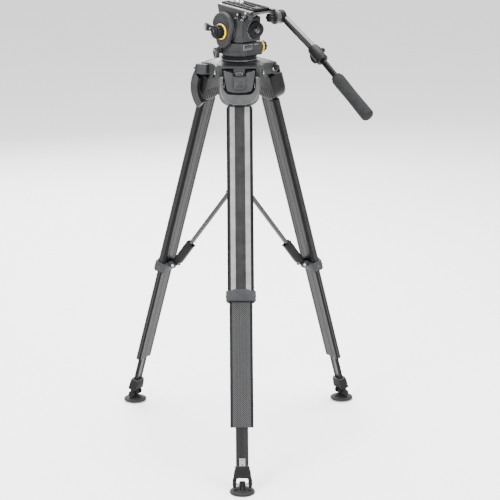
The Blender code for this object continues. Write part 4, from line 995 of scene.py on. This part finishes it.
def hubParts():
    core = lathe([(0, 0.012), (0.005, 0.012), (0.0056, 0.0106), (0.011, 0.0106),
                  (0.013, 0.0112), (0.016, 0.0092), (0.0165, 0.008), (0.0165, 0.0016), (0.0156, 0.0008),
                  (0.0156, -0.0008), (0.0165, -0.0016), (0.0165, -0.0086), (0.013, -0.012), (0, -0.012)],
                  48)
    parts = [(core, "blackMoulding"), (disc(0.0042, 0.0105, 0.0122, 0.0005, 6), "steel")]
    for azimuth in azimuths.values():
        turn = spin(azimuth, "Z")
        for side, way in ((1, "y"), (-1, "-y")):
            ear = rounded([(0.011, -0.0065), (0.011, 0.0065), (0.03, 0.0065),
                           (0.0325, 0.0), (0.03, -0.0065)],
                          0.0035, 4)
            plate = softened(prism(ear, side * 0.0082 - 0.002, side * 0.0082 + 0.002, "y"), 0.0007)
            parts.append((moved(plate, turn), "blackMoulding"))
            pin = disc(0.0031, 0.0018, 0.003, 0.0005, 24, way, (spreader["pivot"], side * 0.0082, 0))
            parts.append((moved(pin, turn), "steel"))
    return parts


def rodParts(n):
    side = spreader["rod"] / 2
    solid, back = frame["nodes"][f"spreader_rod_{n}"], rodFrames[n].inverted()
    low = min((back @ solid.matrix_world @ vert.co).y for vert in solid.data.vertices)
    section = rounded(corners(-side, -side, side, side), 0.0016, 3)
    shaft = prism([(x, z) for x, z in section], low, -0.0045, "y")
    eye = disc(0.0058, -side, side, 0.0008, 32, "x")
    scale = [((side + 0.0001, low + spreader["firstMark"] + spreader["markStep"] * i, 0.0), (0, 0, 1))
             for i in range(6)]
    return [(softened(shaft, 0.0006, 1), "blackGloss"), (eye, "blackMoulding"),
            (disc(spreader["eyePin"], -0.0106, 0.0106, steps=16, axis="x"), "steel"),
            (spreadItems(markTree, scale, (0.0004, 0.0008, 0.005)), "greyMarkAndHighlight")]


def sleeveParts():
    half = [(0.0, -0.01075), (0.0052, -0.01075), (0.0074, -0.0092), (0.008, -0.0068), (0.008, 0.0068),
            (0.0074, 0.0092), (0.0052, 0.01075), (0.0, 0.01075)]
    shell = softened(prism(mirrored(half), 0.015, 0.076, "y"), 0.0007, 1, 40)
    tail = softened(prism(rounded([(0.0, -0.0055), (0.018, -0.008), (0.018, 0.008),
                                   (0.0, 0.0055), (-0.0048, 0.003), (-0.0048, -0.003)], 0.003, 3),
                                   -0.008, 0.008, "x"), 0.0012)
    bore = bar((0.0112, 0.06, 0.0188), (0, 0.0505, 0))
    parts = [(carved(shell, bore), "castDark"), (tail, "castDark"),
             (disc(0.0024, -0.0145, 0.0145, steps=16, axis="x"), "steel")]
    for side, way in ((1, "x"), (-1, "-x")):
        parts.append((disc(0.0036, 0, 0.0012, 0.0004, 24, way, (side * 0.0138, 0, 0)), "steel"))
        ridges = rowPlaces((side * 0.0081, 0.06, 0), (side * 0.0081, 0.07, 0), 4, (0, 0, 1))
        parts.append((spreadItems(barTree, ridges, (0.0008, 0.0012, 0.011)), "castDark"))
    rim = carved(softened(bar((0.0172, 0.0034, 0.0226), (0, 0.0742, 0)), 0.001),
                 bar((0.0112, 0.02, 0.0188), (0, 0.0742, 0)))
    parts.append((rim, "blackMoulding"))
    button = softened(bar((0.008, 0.011, 0.0016), (0, 0.056, 0.0112)), 0.0006)
    parts.append((button, "castGrey"))
    return parts


makePiece("hub", hubParts(), hubFrame, "hub", ["spreader_hub"])
for n in legNames:
    makePiece(f"rod_{n}", rodParts(n), rodFrames[n], f"rod_{n}", [f"spreader_rod_{n}"])
    makePiece(f"sleeve_{n}", sleeveParts(), sleeveFrames[n], f"sleeve_{n}", [f"spreader_sleeve_{n}"])
print("spreader made")


# head: pan stage, with its drag, brake and display

panStage = {"drag": (0.0443, -0.025, 0.9505), "brake": (-0.0473, 0.023, 0.946),
            "ring": 0.0155, "knob": 0.0145}


def panBase():
    drum = lathe([(0, 0.9655), (0.0398, 0.9655), (0.0414, 0.9642), (0.0414, 0.9462), (0.0406, 0.9456),
                  (0.0406, 0.9446), (0.0414, 0.944), (0.0414, 0.935), (0.0402, 0.9335), (0, 0.9335)], 72)
    rear = rounded([(-0.027, 0.002), (-0.027, -0.033), (-0.021, -0.042), (0.038, -0.042), (0.043, -0.037),
                    (0.043, 0.002)], 0.005, 4)
    box = softened(prism(rear, 0.9338, 0.9652), 0.002, 3, 50)
    bay = prism(rounded(corners(-0.0235, 0.95, 0.0035, 0.9622), 0.002, 4),
                -0.044, -0.0408, "y")
    seam = bar((0.1, 0.0012, 0.0007), (0.008, -0.0421, 0.9451))
    slit = prism([(-0.0262, 0.9655), (-0.0254, 0.9655), (-0.023, 0.95), (-0.0238, 0.95)],
                 -0.044, -0.0412, "y")
    parts = [(drum, "castGrey"), (carved(box, bay, seam, slit), "castGrey")]
    rim = prism(rounded(corners(-0.024, 0.9496, 0.004, 0.9626), 0.002, 4), -0.0432,
                -0.0412, "y")
    hole = prism(rounded(corners(-0.0218, 0.9512, 0.0018, 0.961), 0.0016, 4), -0.05,
                 -0.03, "y")
    parts.append((carved(rim, hole), "greyMarkAndHighlight"))
    parts.append((softened(bar((0.013, 0.0012, 0.0022), (0.018, -0.0424, 0.9606)), 0.0004), "greyMarkAndHighlight"))
    boss = lathe([(0, 0.015), (0.0128, 0.015), (0.015, 0.0136), (0.015, 0.0), (0, 0.0)],
                 48, "x", (0.029, -0.025, 0.9505))
    socket = lathe([(0, 0.01), (0.007, 0.01), (0.0085, 0.0086), (0.0085, -0.006), (0, -0.006)], 36, "-x",
                   (-0.037, 0.023, 0.946))
    parts += [(boss, "castGrey"), (socket, "castGrey")]
    screws = [((x, -0.042, 0.9388), (0, -1, 0)) for x in (-0.016, 0.033)]
    screws += [((0.0414 * cos(a), 0.0414 * sin(a), 0.94), (cos(a), sin(a), 0))
               for a in map(radians, (40, 90, 140))]
    parts += socketScrews(screws, 0.0022, 0.0006)
    ticks = [(p, (0, 0, 1)) for p, _ in roundPlaces(45, 0.0415, centre=(0, 0, 0.9372), start=10, sweep=180)]
    parts.append((spreadItems(markTree, ticks, (0.0004, 0.0004, 0.0024)), "greyMarkAndHighlight"))
    return parts


def dragRing(radius, width, way):
    ring = lathe([(radius - 0.005, width), (radius - 0.0008, width), (radius, width - 0.0008),
                  (radius, 0.0006), (radius - 0.0006, 0), (radius - 0.005, 0)], 64, way, ring=True)
    hub = disc(radius - 0.0048, 0.0002, width - 0.0002, steps=48, axis=way)
    return [(ring, "yellow"), (hub, "blackMoulding"), (dragMarks(radius, width, way), "blackMoulding")]


def dragMarks(radius, width, way):
    turn = turnTo(way)
    ahead = turn.to_3x3() @ Vector((0, 0, 1))
    places = [(turn @ Vector((radius * cos(a), radius * sin(a), width / 2)), ahead)
              for a in (tau * i / 28 for i in range(28))]
    return spreadItems(markTree, places, (0.0006, 0.0006, width * 0.55))


def dragKnob(radius, low, high, way, lobes=9):
    rise = high - low
    grip = prism(lobed(radius, lobes, radius * 0.1, 10), low, high - rise * 0.16)
    for vert in grip.verts:
        taper = 1.0 - 0.1 * (vert.co.z - low) / rise
        vert.co.x, vert.co.y = vert.co.x * taper, vert.co.y * taper
    grip = softened(grip, radius * 0.09, 3, 40)
    cap = lathe([(0, high), (radius * 0.52, high), (radius * 0.62, high - rise * 0.05),
                 (radius * 0.68, high - rise * 0.2), (radius * 0.68, low + rise * 0.3),
                 (0, low + rise * 0.3)], 48)
    dish = lathe(corners(radius * 0.44, high + 0.0003, radius * 0.48, high - 0.0008), 48, ring=True)
    pointer = bar((radius * 0.4, 0.001, 0.0008), (radius * 0.22, 0, high + 0.0001))
    turn = turnTo(way)
    return [(moved(grip, turn), "blackMoulding"), (moved(cap, turn), "blackMoulding"),
            (moved(dish, turn), "castDark"), (moved(pointer, turn), "greyMarkAndHighlight")]


def panBrake():
    outline = rounded([(0.006, 0.0065), (-0.006, 0.0065), (-0.0085, -0.004),
                       (-0.008, -0.017), (0.005, -0.019), (0.0095, -0.005)], 0.0035, 4)
    plate = softened(prism(outline, -0.009, 0.0, "x"), 0.002, 3, 40)
    # painted highlight: the light grey line down the paddle's outer face
    rib = [(-0.0092, -0.004, -0.001), (-0.0094, -0.0035, -0.01), (-0.009, -0.001, -0.0165)]
    return [(plate, "castGrey"), (tube(smoothPath(rib, 4), 0.0009, 10), "greyMarkAndHighlight"),
            (disc(0.0046, 0.0, 0.01, 0.0006, 32, "-x"), "castDark"),
            (disc(0.0024, 0.0098, 0.0106, 0.0002, 6, "-x"), "steel")]


def windowGlass():
    pane = softened(prism(rounded(corners(-0.0214, 0.9516, 0.0014, 0.9604), 0.0014, 4),
                          -0.0452, -0.0437, "y"), 0.0004, 2, 40)
    cells = spreadItems(markTree, rowPlaces((-0.018, -0.0453, 0.956), (-0.002, -0.0453, 0.956),
                                            6, (0, -1, 0)),
                        (0.0013, 0.0034, 0.0002))
    return [(pane, "glass"), (cells, "glassCell")]


makePiece("pan_housing", panBase(), headFrame, "pan", ["pan_base"])
panDrag = headFrame @ shift(*panStage["drag"])
makePiece("pan_ring", dragRing(panStage["ring"], 0.004, "x"), panDrag, bodyOf["pan_drag_ring"],
          ["pan_drag_ring"])
makePiece("pan_knob", dragKnob(panStage["knob"], 0.0043, 0.0163, "x"), panDrag, bodyOf["pan_drag_knob"],
          ["pan_drag_knob"])
makePiece("pan_brake_arm", panBrake(), headFrame @ shift(*panStage["brake"]), bodyOf["pan_brake_lever"],
          ["pan_brake_lever"])
makePiece("display", windowGlass(), headFrame, bodyOf["level_window"], ["level_window"])
print("pan stage made")


# head: tilt housing, side cover, tilt drag, brake and counterbalance

tiltStage = {"ring": 0.019, "knob": 0.0168, "dragX": -0.0572, "brake": (-0.0572, 0.03, 0.999),
             "dial": (0.0155, -0.0403, 0.995)}
tiltHeight = 0.994


def tiltHousing():
    plan = rounded([(-0.0348, 0.033), (-0.0348, -0.024), (-0.027, -0.04), (0.036, -0.04), (0.036, 0.034),
                    (0.026, 0.036), (-0.025, 0.036)], 0.005, 5)
    block = prism(plan, 0.9685, 1.0255)
    sweep = disc(0.0495, -0.0354, 0.0366, 0.003, 96, "x", (0, 0, tiltHeight))
    well = lathe([(0, 0.003), (0.0222, 0.003), (0.0214, -0.0012), (0, -0.0012)],
                 56, "-y", (0.0155, -0.04, 0.995))
    body = carved(carved(block, sweep, operation="INTERSECT"), well)
    parts = [(body, "castGrey")]
    parts.append((disc(0.012, -0.0418, 0.043, 0.001, 48, "x", (0, 0, tiltHeight)), "steel"))
    foot = softened(prism(rounded(corners(-0.03, -0.028, 0.03, 0.028), 0.006, 4),
                          0.966, 0.976), 0.0012)
    parts.append((foot, "castDark"))
    seam = [(0.0361, -0.035 + 0.0695 * i / 10, 0.976) for i in range(11)]
    parts.append((tube(seam, 0.0005, 8), "castDark"))
    arc = [(0.0155 + 0.0232 * cos(a), -0.0403, 0.995 + 0.0232 * sin(a))
           for a in (radians(120 + 7 * i) for i in range(18))]
    parts.append((tube(arc, 0.0006, 8), "greyMarkAndHighlight"))
    dots = [((0.0155 + 0.0262 * cos(a), -0.0402, 0.995 + 0.0262 * sin(a)), (0, -1, 0))
            for a in (radians(130 + 20 * i) for i in range(6))]
    parts.append((spreadItems(rivetTree, dots, (0.0007, 0.0007, 0.0006), 14), "greyMarkAndHighlight"))
    for x in (-0.024, 0.0335):
        line = [(x, -0.0402, 0.98), (x, -0.0402, 1.008)]
        parts.append((tube(line, 0.0005, 8), "castDark"))
    screws = [((-0.024, -0.0392, 0.977), (0, -1, 0)), ((0.032, 0.035, 0.978), (0, 1, 0)),
              ((-0.028, 0.034, 0.978), (0, 1, 0)), ((0.0363, 0.028, 0.985), (1, 0, 0)),
              ((0.0363, -0.03, 0.985), (1, 0, 0))]
    return parts + socketScrews(screws, 0.0024, 0.0008)


def sideCover():
    outline = arcPoints((0.0, 0.0125), 0.0335, 10, 170, 22) + arcPoints((0.0, -0.02), 0.0205, 205, 335, 16)
    lifted = [(y, z + tiltHeight) for y, z in outline]
    shell = softened(prism(lifted, -0.0569, -0.0419, "x"), 0.004, 4, 40)
    socket = disc(0.0123, -0.044, -0.038, steps=40, axis="x", centre=(0, 0, tiltHeight))
    inset = [(y * 0.8, z * 0.8 + tiltHeight - 0.0006) for y, z in outline]
    line = [(y * 0.84, z * 0.84 + tiltHeight - 0.0006) for y, z in outline]
    groove = carved(prism(line, -0.06, -0.0562, "x"), prism(inset, -0.062, -0.055, "x"))
    parts = [(carved(shell, groove, socket), "castGrey")]
    screws = [((-0.0568, y, z + tiltHeight), (-1, 0, 0)) for y,
              z in ((-0.0215, 0.029), (0.0215, 0.029), (0.0, -0.0335))]
    parts += socketScrews(screws, 0.0024, 0.0007)
    seat = lathe([(0.013, 0.0), (0.0208, 0.0), (0.0214, -0.001), (0.013, -0.001)], 56, "-x",
                 (tiltStage["dragX"], 0, tiltHeight), ring=True)
    parts.append((seat, "castDark"))
    return parts


def tiltBrake():
    outline = rounded([(-0.006, 0.006), (0.006, 0.0085), (0.02, 0.012), (0.023, 0.004), (0.019, -0.008),
                       (0.004, -0.007), (-0.006, -0.005)], 0.0035, 4)
    plate = softened(prism(outline, -0.008, 0.0, "x"), 0.0022, 3, 40)
    tip = softened(prism(rounded([(0.013, 0.008), (0.0196, 0.0098), (0.0214, 0.0038), (0.0178, -0.0056),
                                  (0.014, -0.0052)],
                                 0.002, 3), -0.0084, -0.007, "x"), 0.0005)
    return [(plate, "blackMoulding"), (tip, "greyMarkAndHighlight"),
            (disc(0.0048, 0.0, 0.009, 0.0008, 32, "-x"), "blackMoulding"),
            (disc(0.0024, 0.0088, 0.0096, 0.0002, 6, "-x"), "steel")]


def balanceKnob():
    lens = [(0.0205 * sin(radians(a)),
             0.0245 * cos(radians(a)) ** 3 + 0.02 * (cos(radians(a)) - cos(radians(a)) ** 3))
            for a in range(0, 360, 6)]
    plate = softened(prism([(y, x) for x, y in lens], 0.0004, 0.0058), 0.0012, 3, 40)
    wing = [(0, 0.024), (0.007, 0.007), (0.01, 0.0), (0.007, -0.007), (0, -0.024), (-0.007, -0.007),
            (-0.01, 0.0), (-0.007, 0.007)]
    ridge = softened(prism([(y, x) for x, y in wing], 0.005, 0.0074), 0.0008, 2, 30)
    dome = lathe([(0, 0.0115), (0.003, 0.0112), (0.0058, 0.01), (0.0078, 0.008),
                  (0.0085, 0.006), (0, 0.006)], 40)
    rim = lathe(corners(0.009, 0.0066, 0.0098, 0.005), 40, ring=True)
    grips = [(p, (0, 0, 1)) for p, _ in roundPlaces(26, 0.0198, centre=(0, 0, 0.0028))]
    return [(plate, "blackMoulding"), (ridge, "blackMoulding"), (dome, "blackGloss"), (rim, "castDark"),
            (spreadItems(barTree, grips, (0.0009, 0.0009, 0.004)), "blackMoulding")]


makePiece("tilt_housing", tiltHousing(), headFrame, "pan", ["head_body"])
makePiece("egg_cover", sideCover(), headFrame, "pan", ["side_cover"])
tiltDrag = headFrame @ shift(tiltStage["dragX"], 0, tiltHeight)
makePiece("tilt_ring", dragRing(tiltStage["ring"], 0.003, "-x"), tiltDrag, bodyOf["tilt_drag_ring"],
          ["tilt_drag_ring"])
makePiece("tilt_knob", dragKnob(tiltStage["knob"], 0.0033, 0.0233, "-x", 11), tiltDrag,
          bodyOf["tilt_drag_knob"], ["tilt_drag_knob"])
makePiece("tilt_brake_arm", tiltBrake(), headFrame @ shift(*tiltStage["brake"]), bodyOf["tilt_brake_lever"],
          ["tilt_brake_lever"])
makePiece("balance_dial", balanceKnob(), headFrame @ shift(*tiltStage["dial"]) @ spin(90, "X"),
          bodyOf["balance_knob"], ["balance_knob"])
print("tilt stage made")


# tilting platform, sliding plate and its release

platform = {"front": 0.0345, "rear": -0.0802, "rosette": (-0.078, 0.04), "toothRing": 0.013, "teeth": 48}


def tiltPlatform():
    deck = softened(bar((0.08, 0.114, 0.004), (0, -0.0227, 0.054)), 0.0008)
    parts = [(deck, "blackMoulding")]
    for side in (-1, 1):
        rail = [(side * 0.0326, 0.052), (side * 0.0412, 0.0512), (side * 0.0412, 0.058),
                (side * 0.0404, 0.0604), (side * 0.0302, 0.0604), (side * 0.0302, 0.0588),
                (side * 0.0326, 0.0576)]
        parts.append((softened(prism(rail, platform["rear"], platform["front"], "y"), 0.0005, 2, 20),
                      railFinish))
        low, high = ((-0.0415, -0.0375) if side < 0 else (0.0345, 0.0385))
        skirt = [(0.034, 0.0575), (0.03, 0.04), (0.004, 0.03), (-0.02, 0.034), (-0.06, 0.0475),
                 (-0.0802, 0.051), (-0.0802, 0.0575)]
        panel = softened(prism(rounded(skirt, 0.003, 3), low, high, "x"), 0.0008)
        parts.append((panel, "castGrey"))
        x = 0.0385 if side > 0 else -0.0375
        cheek = rounded([(-0.021, 0.05), (0.02, 0.05),
                         (0.02, 0.02)] + arcPoints((0, 0), 0.026, 20, -200, 22)
                        + [(-0.021, 0.02)], 0.0015, 2)
        plate = softened(prism(cheek, x - 0.002, x + 0.002, "x"), 0.0008)
        hole = disc(0.0125, -0.01, 0.01, steps=40, axis="x", centre=(x, 0, 0))
        parts.append((carved(plate, hole), "castGrey"))
        parts += socketScrews([((side * 0.0412, y, 0.0548), (side, 0, 0)) for y in (-0.06, -0.03, 0.02)],
                              0.002, 0.0006)
    arch = [(-0.041, 0.0562), (-0.041, 0.04), (-0.036, 0.04), (-0.03, 0.049), (-0.019, 0.053),
            (-0.004, 0.0538), (0.012, 0.0538), (0.028, 0.0518), (0.036, 0.046), (0.0382, 0.03),
            (0.041, 0.03), (0.041, 0.0562)]
    parts.append((softened(prism(arch, -0.0802, -0.0722, "y"), 0.0008), "castGrey"))
    bead = [(-0.03, -0.0804, 0.0488), (-0.019, -0.0804, 0.0529), (0.0, -0.0804, 0.0538),
            (0.02, -0.0804, 0.0532), (0.0345, -0.0804, 0.0475)]
    parts.append((tube(smoothPath(bead, 4), 0.0006, 8), "greyMarkAndHighlight"))
    lug = disc(0.017, 0.038, 0.05, 0.0012, 64, "x", (0, *platform["rosette"]), 0.0033)
    teeth = [((0.0497, platform["rosette"][0] + platform["toothRing"] * cos(a),
               platform["rosette"][1] + platform["toothRing"] * sin(a)),
              (0, cos(a), sin(a))) for a in (tau * i / platform["teeth"] for i in range(platform["teeth"]))]
    parts += [(lug, "yokeGrey"), (spreadItems(rivetTree, teeth, (0.0004, 0.0004, 0.006), 6), "yokeGrey")]
    stop = lathe([(0, 0.0022), (0.0026, 0.0022), (0.003, 0.0016), (0.003, 0), (0, 0)], 24,
                 "-x", (-0.0412, -0.064, 0.054))
    parts.append((stop, "steel"))
    return parts


def railFinish(face):
    spot, normal = face.calc_center_median(), face.normal
    # the upward faces and the side faces near the top of each rail get the lighter grey
    upperFace = normal.z > 0.5 or abs(normal.x) > 0.8 and spot.z > 0.0575
    return "railUpperGrey" if upperFace else "castDark"


def slidingPlate():
    base = softened(prism(rounded(corners(-0.029, -0.072, 0.029, 0.036), 0.004, 4),
                          0.0569, 0.0639), 0.001, 2)
    groove = prism(rounded(corners(-0.0062, -0.052, 0.0062, 0.017), 0.005, 5),
                   0.0615, 0.066)
    parts = [(carved(base, groove), "blackMoulding")]
    for side in (-1, 1):
        strip = rounded(corners(side * 0.0175 - 0.0065, -0.067, side * 0.0175 + 0.0065, 0.031), 0.002, 3)
        parts.append((softened(prism(strip, 0.0637, 0.0645), 0.0002, 1), "rubber"))
        ridges = [((side * 0.0175 + x, -0.018, 0.0645), (0, 1, 0))
                  for x in (-0.0052, -0.0026, 0.0, 0.0026, 0.0052)]
        parts.append((spreadItems(barTree, ridges, (0.0011, 0.0011, 0.096)), "rubber"))
    stops = [((x, y, 0.064), (0, 0, 1)) for x in (-0.0255, 0.0255) for y in (-0.066, 0.03)]
    parts += socketScrews(stops, 0.0015, 0.0004)
    marks = rowPlaces((-0.0288, -0.05, 0.0628), (-0.0288, 0.01, 0.0628), 13, (0, 0, 1))
    parts.append((spreadItems(rivetTree, marks, (0.00035, 0.00035, 0.0016), 4), "greyMarkAndHighlight"))
    return parts


def threadedScrew(radius, low, high, slot):
    turns = int((high - low - 0.0022) / 0.0008)
    thread = [(radius if i % 2 else radius - 0.0004, high - 0.0008 - 0.0004 * i) for i in range(2 * turns)]
    shape = lathe([(0, high), (radius - 0.0007, high), *thread, (radius - 0.0001, low + 0.0012),
                   (radius, low), (0, low)], 36)
    return carved(shape, bar((radius * 1.3, 0.001, 0.0016), (0, 0, high))) if slot else shape


def plateLever():
    outline = rounded([(0.005, 0.005), (-0.005, 0.005), (-0.006, -0.004), (-0.023, -0.009),
                       (-0.024, -0.014), (-0.003, -0.01), (0.006, -0.003)], 0.0018, 3)
    # the thin light grey bar on the lever's outer face is a painted highlight
    return [(softened(prism(outline, -0.0025, 0.0025, "x"), 0.001, 3, 40), "blackMoulding"),
            (disc(0.0026, 0.0, 0.0034, 0.0005, 24, "-x"), "steel"),
            (softened(bar((0.0008, 0.01, 0.003), (-0.0025, -0.017, -0.0104)), 0.0002, 1), "greyMarkAndHighlight")]


makePiece("platform", tiltPlatform(), tiltFrame, "tilt", ["tilt_platform"])
makePiece("camera_plate", slidingPlate(), tiltFrame, "plate", ["sliding_plate"])
makePiece("camera_stud", [(moved(threadedScrew(0.0048, 0.0618, 0.0688, True), shift(y=-0.004)), "steel")],
          tiltFrame, "plate", ["camera_screw"])
makePiece("anti_twist_pin", [(moved(threadedScrew(0.004, 0.0618, 0.0678, False), shift(y=0.01)), "steel")],
          tiltFrame, "plate", ["camera_pin"])
makePiece("release_lever", plateLever(), tiltFrame @ shift(-0.0445, -0.042, 0.048), bodyOf["plate_lever"],
          ["plate_lever"])
print("platform made")


# pan bar: rosette hub, bent tube and clamp, inner rod, foam grip

panBar = {"drop": 31.6, "tubeDrop": 36.8, "first": 0.1115, "socket": 0.055, "x": 0.066, "radius": 0.0095}


def clampKnob():
    grip = softened(prism(lobed(0.0105, 6, 0.0016, 10), 0.021, 0.037), 0.0012, 3, 40)
    core = disc(0.0075, 0.019, 0.0384, 0.0012, 32)
    thread = [(0.0028 if i % 2 else 0.0024, 0.062 - 0.0006 * i) for i in range(42)]
    bolt = lathe([(0, 0.062), *thread, (0.0024, 0.036), (0, 0.036)], 24)
    turn = spin(90, "Y")
    return [(moved(grip, turn), "blackMoulding"), (moved(core, turn), "blackMoulding"),
            (moved(bolt, turn), "steel")]


def barTube():
    b = panBar
    drop, tube2 = radians(b["drop"]), radians(b["tubeDrop"])
    start = Vector((b["x"], 0.007 * cos(drop), 0.007 * sin(drop)))
    bend = Vector((b["x"], -b["first"] * cos(drop), -b["first"] * sin(drop)))
    along = Vector((0, -cos(tube2), -sin(tube2)))
    line = [start, bend.lerp(start, 0.5), bend.lerp(start, 0.12), bend.lerp(start, 0.05),
            bend, bend + along * 0.008, bend + along * 0.02, bend + along * b["socket"]]
    bore = tube([bend + along * 0.005, bend + along * 0.08], 0.0079, 24)
    shell = carved(tube(line, b["radius"], 28), bore)
    hub = lathe([(0.0031, 0.0685), (0.012, 0.0685), (0.014, 0.0676), (0.0162, 0.066),
                 (0.0165, 0.064), (0.0165, 0.053), (0.0158, 0.0524), (0.0165, 0.0518), (0.0165, 0.0508),
                 (0.0155, 0.0505), (0.0031, 0.0505)], 64, "x", ring=True)
    teeth = [((0.0511, platform["toothRing"] * cos(a), platform["toothRing"] * sin(a)), (0, cos(a), sin(a)))
             for a in (tau * i / platform["teeth"] for i in range(platform["teeth"]))]
    cap = disc(0.007, 0.068, 0.069, 0.0004, 6, "x")
    parts = [(shell, "blackGloss"), (hub, "blackMoulding"),
             (spreadItems(rivetTree, teeth, (0.0004, 0.0004, 0.005), 6),
             "yokeGrey"), (cap, "steel")]
    turn = barFrame.inverted() @ lockFrame
    collar = lathe([(0.008, 0.033), (0.0122, 0.033), (0.014, 0.0316), (0.014, 0.0225), (0.0132, 0.0218),
                    (0.0132, 0.0205), (0.014, 0.0198), (0.014, -0.008), (0.0118, -0.013), (0.0098, -0.013),
                    (0.008, -0.013)], 56,
                   ring=True)
    slot = bar((0.02, 0.0012, 0.03), (0.012, 0, 0.019))
    parts.append((moved(carved(collar, slot), turn), "blackMoulding"))
    fin = prism(rounded([(-0.008, -0.012), (-0.008, 0.025), (-0.023, 0.019),
                         (-0.026, 0.006), (-0.02, -0.006)],
                        0.004, 4), -0.003, 0.003, "y")
    parts.append((moved(softened(fin, 0.001, 2, 40), turn @ spin(90, "Z")), "blackMoulding"))
    ears = [softened(bar((0.009, 0.004, 0.02), (0.015, side * 0.0032, 0.0)), 0.0012) for side in (-1, 1)]
    parts += [(moved(ear, turn), "blackMoulding") for ear in ears]
    grips = [(turn @ Vector((0.0139 * cos(a), 0.0139 * sin(a), 0.0275)), turn.to_3x3() @ Vector((0, 0, 1)))
             for a in (tau * i / 30 for i in range(30))]
    parts.append((spreadItems(barTree, grips, (0.0009, 0.0009, 0.006)), "blackMoulding"))
    return parts


def lockKnob():
    grip = softened(prism(lobed(0.0062, 5, 0.001, 8), 0.015, 0.0275), 0.0008, 2, 40)
    core = disc(0.0036, 0.009, 0.0278, 0.0005, 24)
    turn = spin(90, "Y")
    return [(moved(grip, turn), "blackMoulding"), (moved(core, turn), "steel")]


def innerRod():
    rings = []
    for i in range(5):
        z = 0.013 + 0.0095 * i
        rings += [(0.0075, z + 0.0007), (0.00725, z + 0.0004), (0.00725, z - 0.0004), (0.0075, z - 0.0007)]
    profile = [(0, 0.084), (0.007, 0.084), (0.0075, 0.0835), *reversed(rings), (0.0075, -0.0355),
               (0.007, -0.036), (0, -0.036)]
    return [(lathe(profile, 40), "rodAlloy")]


gripSize = {"radius": 0.0155, "start": 0.058, "end": 0.19, "bore": 0.0078, "groove": 0.00035}


def foamGrip():
    radius, end = gripSize["radius"], gripSize["end"]
    dome = [(radius * sin(a), end - radius * 0.6 * (1 - cos(a)))
            for a in (pi / 2 * i / 12 for i in range(13))]
    side = [(radius - gripSize["groove"] * (1 - cos(tau * i / 12)), 0.178 - 0.0098 * i) for i in range(12)]
    profile = dome + side + [(radius, 0.062), (0.0148, 0.059), (0.0135, gripSize["start"]),
                             (gripSize["bore"], gripSize["start"]), (gripSize["bore"], 0.0843), (0, 0.0843)]
    cuff = lathe([(0.0079, 0.058), (0.0118, 0.058), (0.0126, 0.056), (0.0122, 0.053), (0.0079, 0.053)],
                 40, ring=True)
    return [(lathe(profile, 56), "foam"), (cuff, "blackMoulding")]


makePiece("clamp_knob", clampKnob(), barFrame, bodyOf["bar_clamp_knob"], ["bar_clamp_knob"])
makePiece("bar_tube", barTube(), barFrame, bodyOf["pan_bar_tube"], ["pan_bar_tube"])
makePiece("lock_knob", lockKnob(), lockFrame, bodyOf["bar_lock_knob"], ["bar_lock_knob"])
makePiece("inner_rod", innerRod(), gripFrame, bodyOf["pan_bar_rod"], ["pan_bar_rod"])
makePiece("grip", foamGrip(), gripFrame, bodyOf["pan_bar_grip"], ["pan_bar_grip"])
print("pan bar made")


# floor, light and camera

floorSize = {"half": 12.0, "drop": 0.0006}


def paleFloor():
    builder = bmesh.new()
    bmesh.ops.create_grid(builder, x_segments=1, y_segments=1, size=floorSize["half"])
    floor = asObject(builder, "floor")
    floor.location.z = -floorSize["drop"]
    material, nodes, links, shader = newMaterial("pale_floor")
    tint = noiseNode(nodes, links, 3.0, 2.0, 0.5)
    links.new(mixColour(nodes, links, tint, (0.9, 0.9, 0.9), (0.93, 0.93, 0.93)),
              shader.inputs["Base Color"])
    shader.inputs["Roughness"].default_value = 0.9
    floor.data.materials.append(material)


# each lamp: where it stands, its two sizes and its power; all face lampTarget
lampTarget = Vector((0, 0.1, 0.62))
lamps = {"key": ((-1.9, -2.6, 2.3), 1.3, 2.2, 190.0), "fill": ((2.3, -2.3, 1.5), 1.2, 2.4, 110.0),
         "top": ((0.1, 0.6, 3.0), 2.2, 2.2, 260.0), "back": ((-0.8, 3.0, 1.8), 2.0, 1.6, 130.0)}


def softLight(name, spot, width, height, power):
    lamp = bpy.data.lights.new(name, "AREA")
    lamp.shape, lamp.size, lamp.size_y, lamp.energy = "RECTANGLE", width, height, power
    obj = bpy.data.objects.new(name, lamp)
    bpy.context.scene.collection.objects.link(obj)
    obj.location = spot
    obj.rotation_euler = (lampTarget - Vector(spot)).to_track_quat("-Z", "Y").to_euler()


paleFloor()
for name, (spot, width, height, power) in lamps.items():
    softLight(name, spot, width, height, power)
worldStrength = 1.55
world = bpy.data.worlds.new("studio")
bpy.context.scene.world = world
world.use_nodes = True
world.node_tree.nodes["Background"].inputs["Color"].default_value = (1.0, 1.0, 1.0, 1.0)
world.node_tree.nodes["Background"].inputs["Strength"].default_value = worldStrength

viewpoint = {"distance": 4.5, "height": 1.66, "aside": 0.027, "pitch": 15.1, "yaw": -1.15, "lens": 135.7}
camera = bpy.data.cameras.new("camera")
camera.lens, camera.sensor_width = viewpoint["lens"], 36.0
cameraObject = bpy.data.objects.new("camera", camera)
bpy.context.scene.collection.objects.link(cameraObject)
cameraObject.matrix_world = (Matrix.Translation((panSpot.x, panSpot.y, 0)) @ spin(viewpoint["yaw"], "Z")
                             @ shift(viewpoint["aside"], -viewpoint["distance"], viewpoint["height"])
                             @ spin(90 - viewpoint["pitch"], "X"))
bpy.context.scene.camera = cameraObject
print("scene lit, camera set")
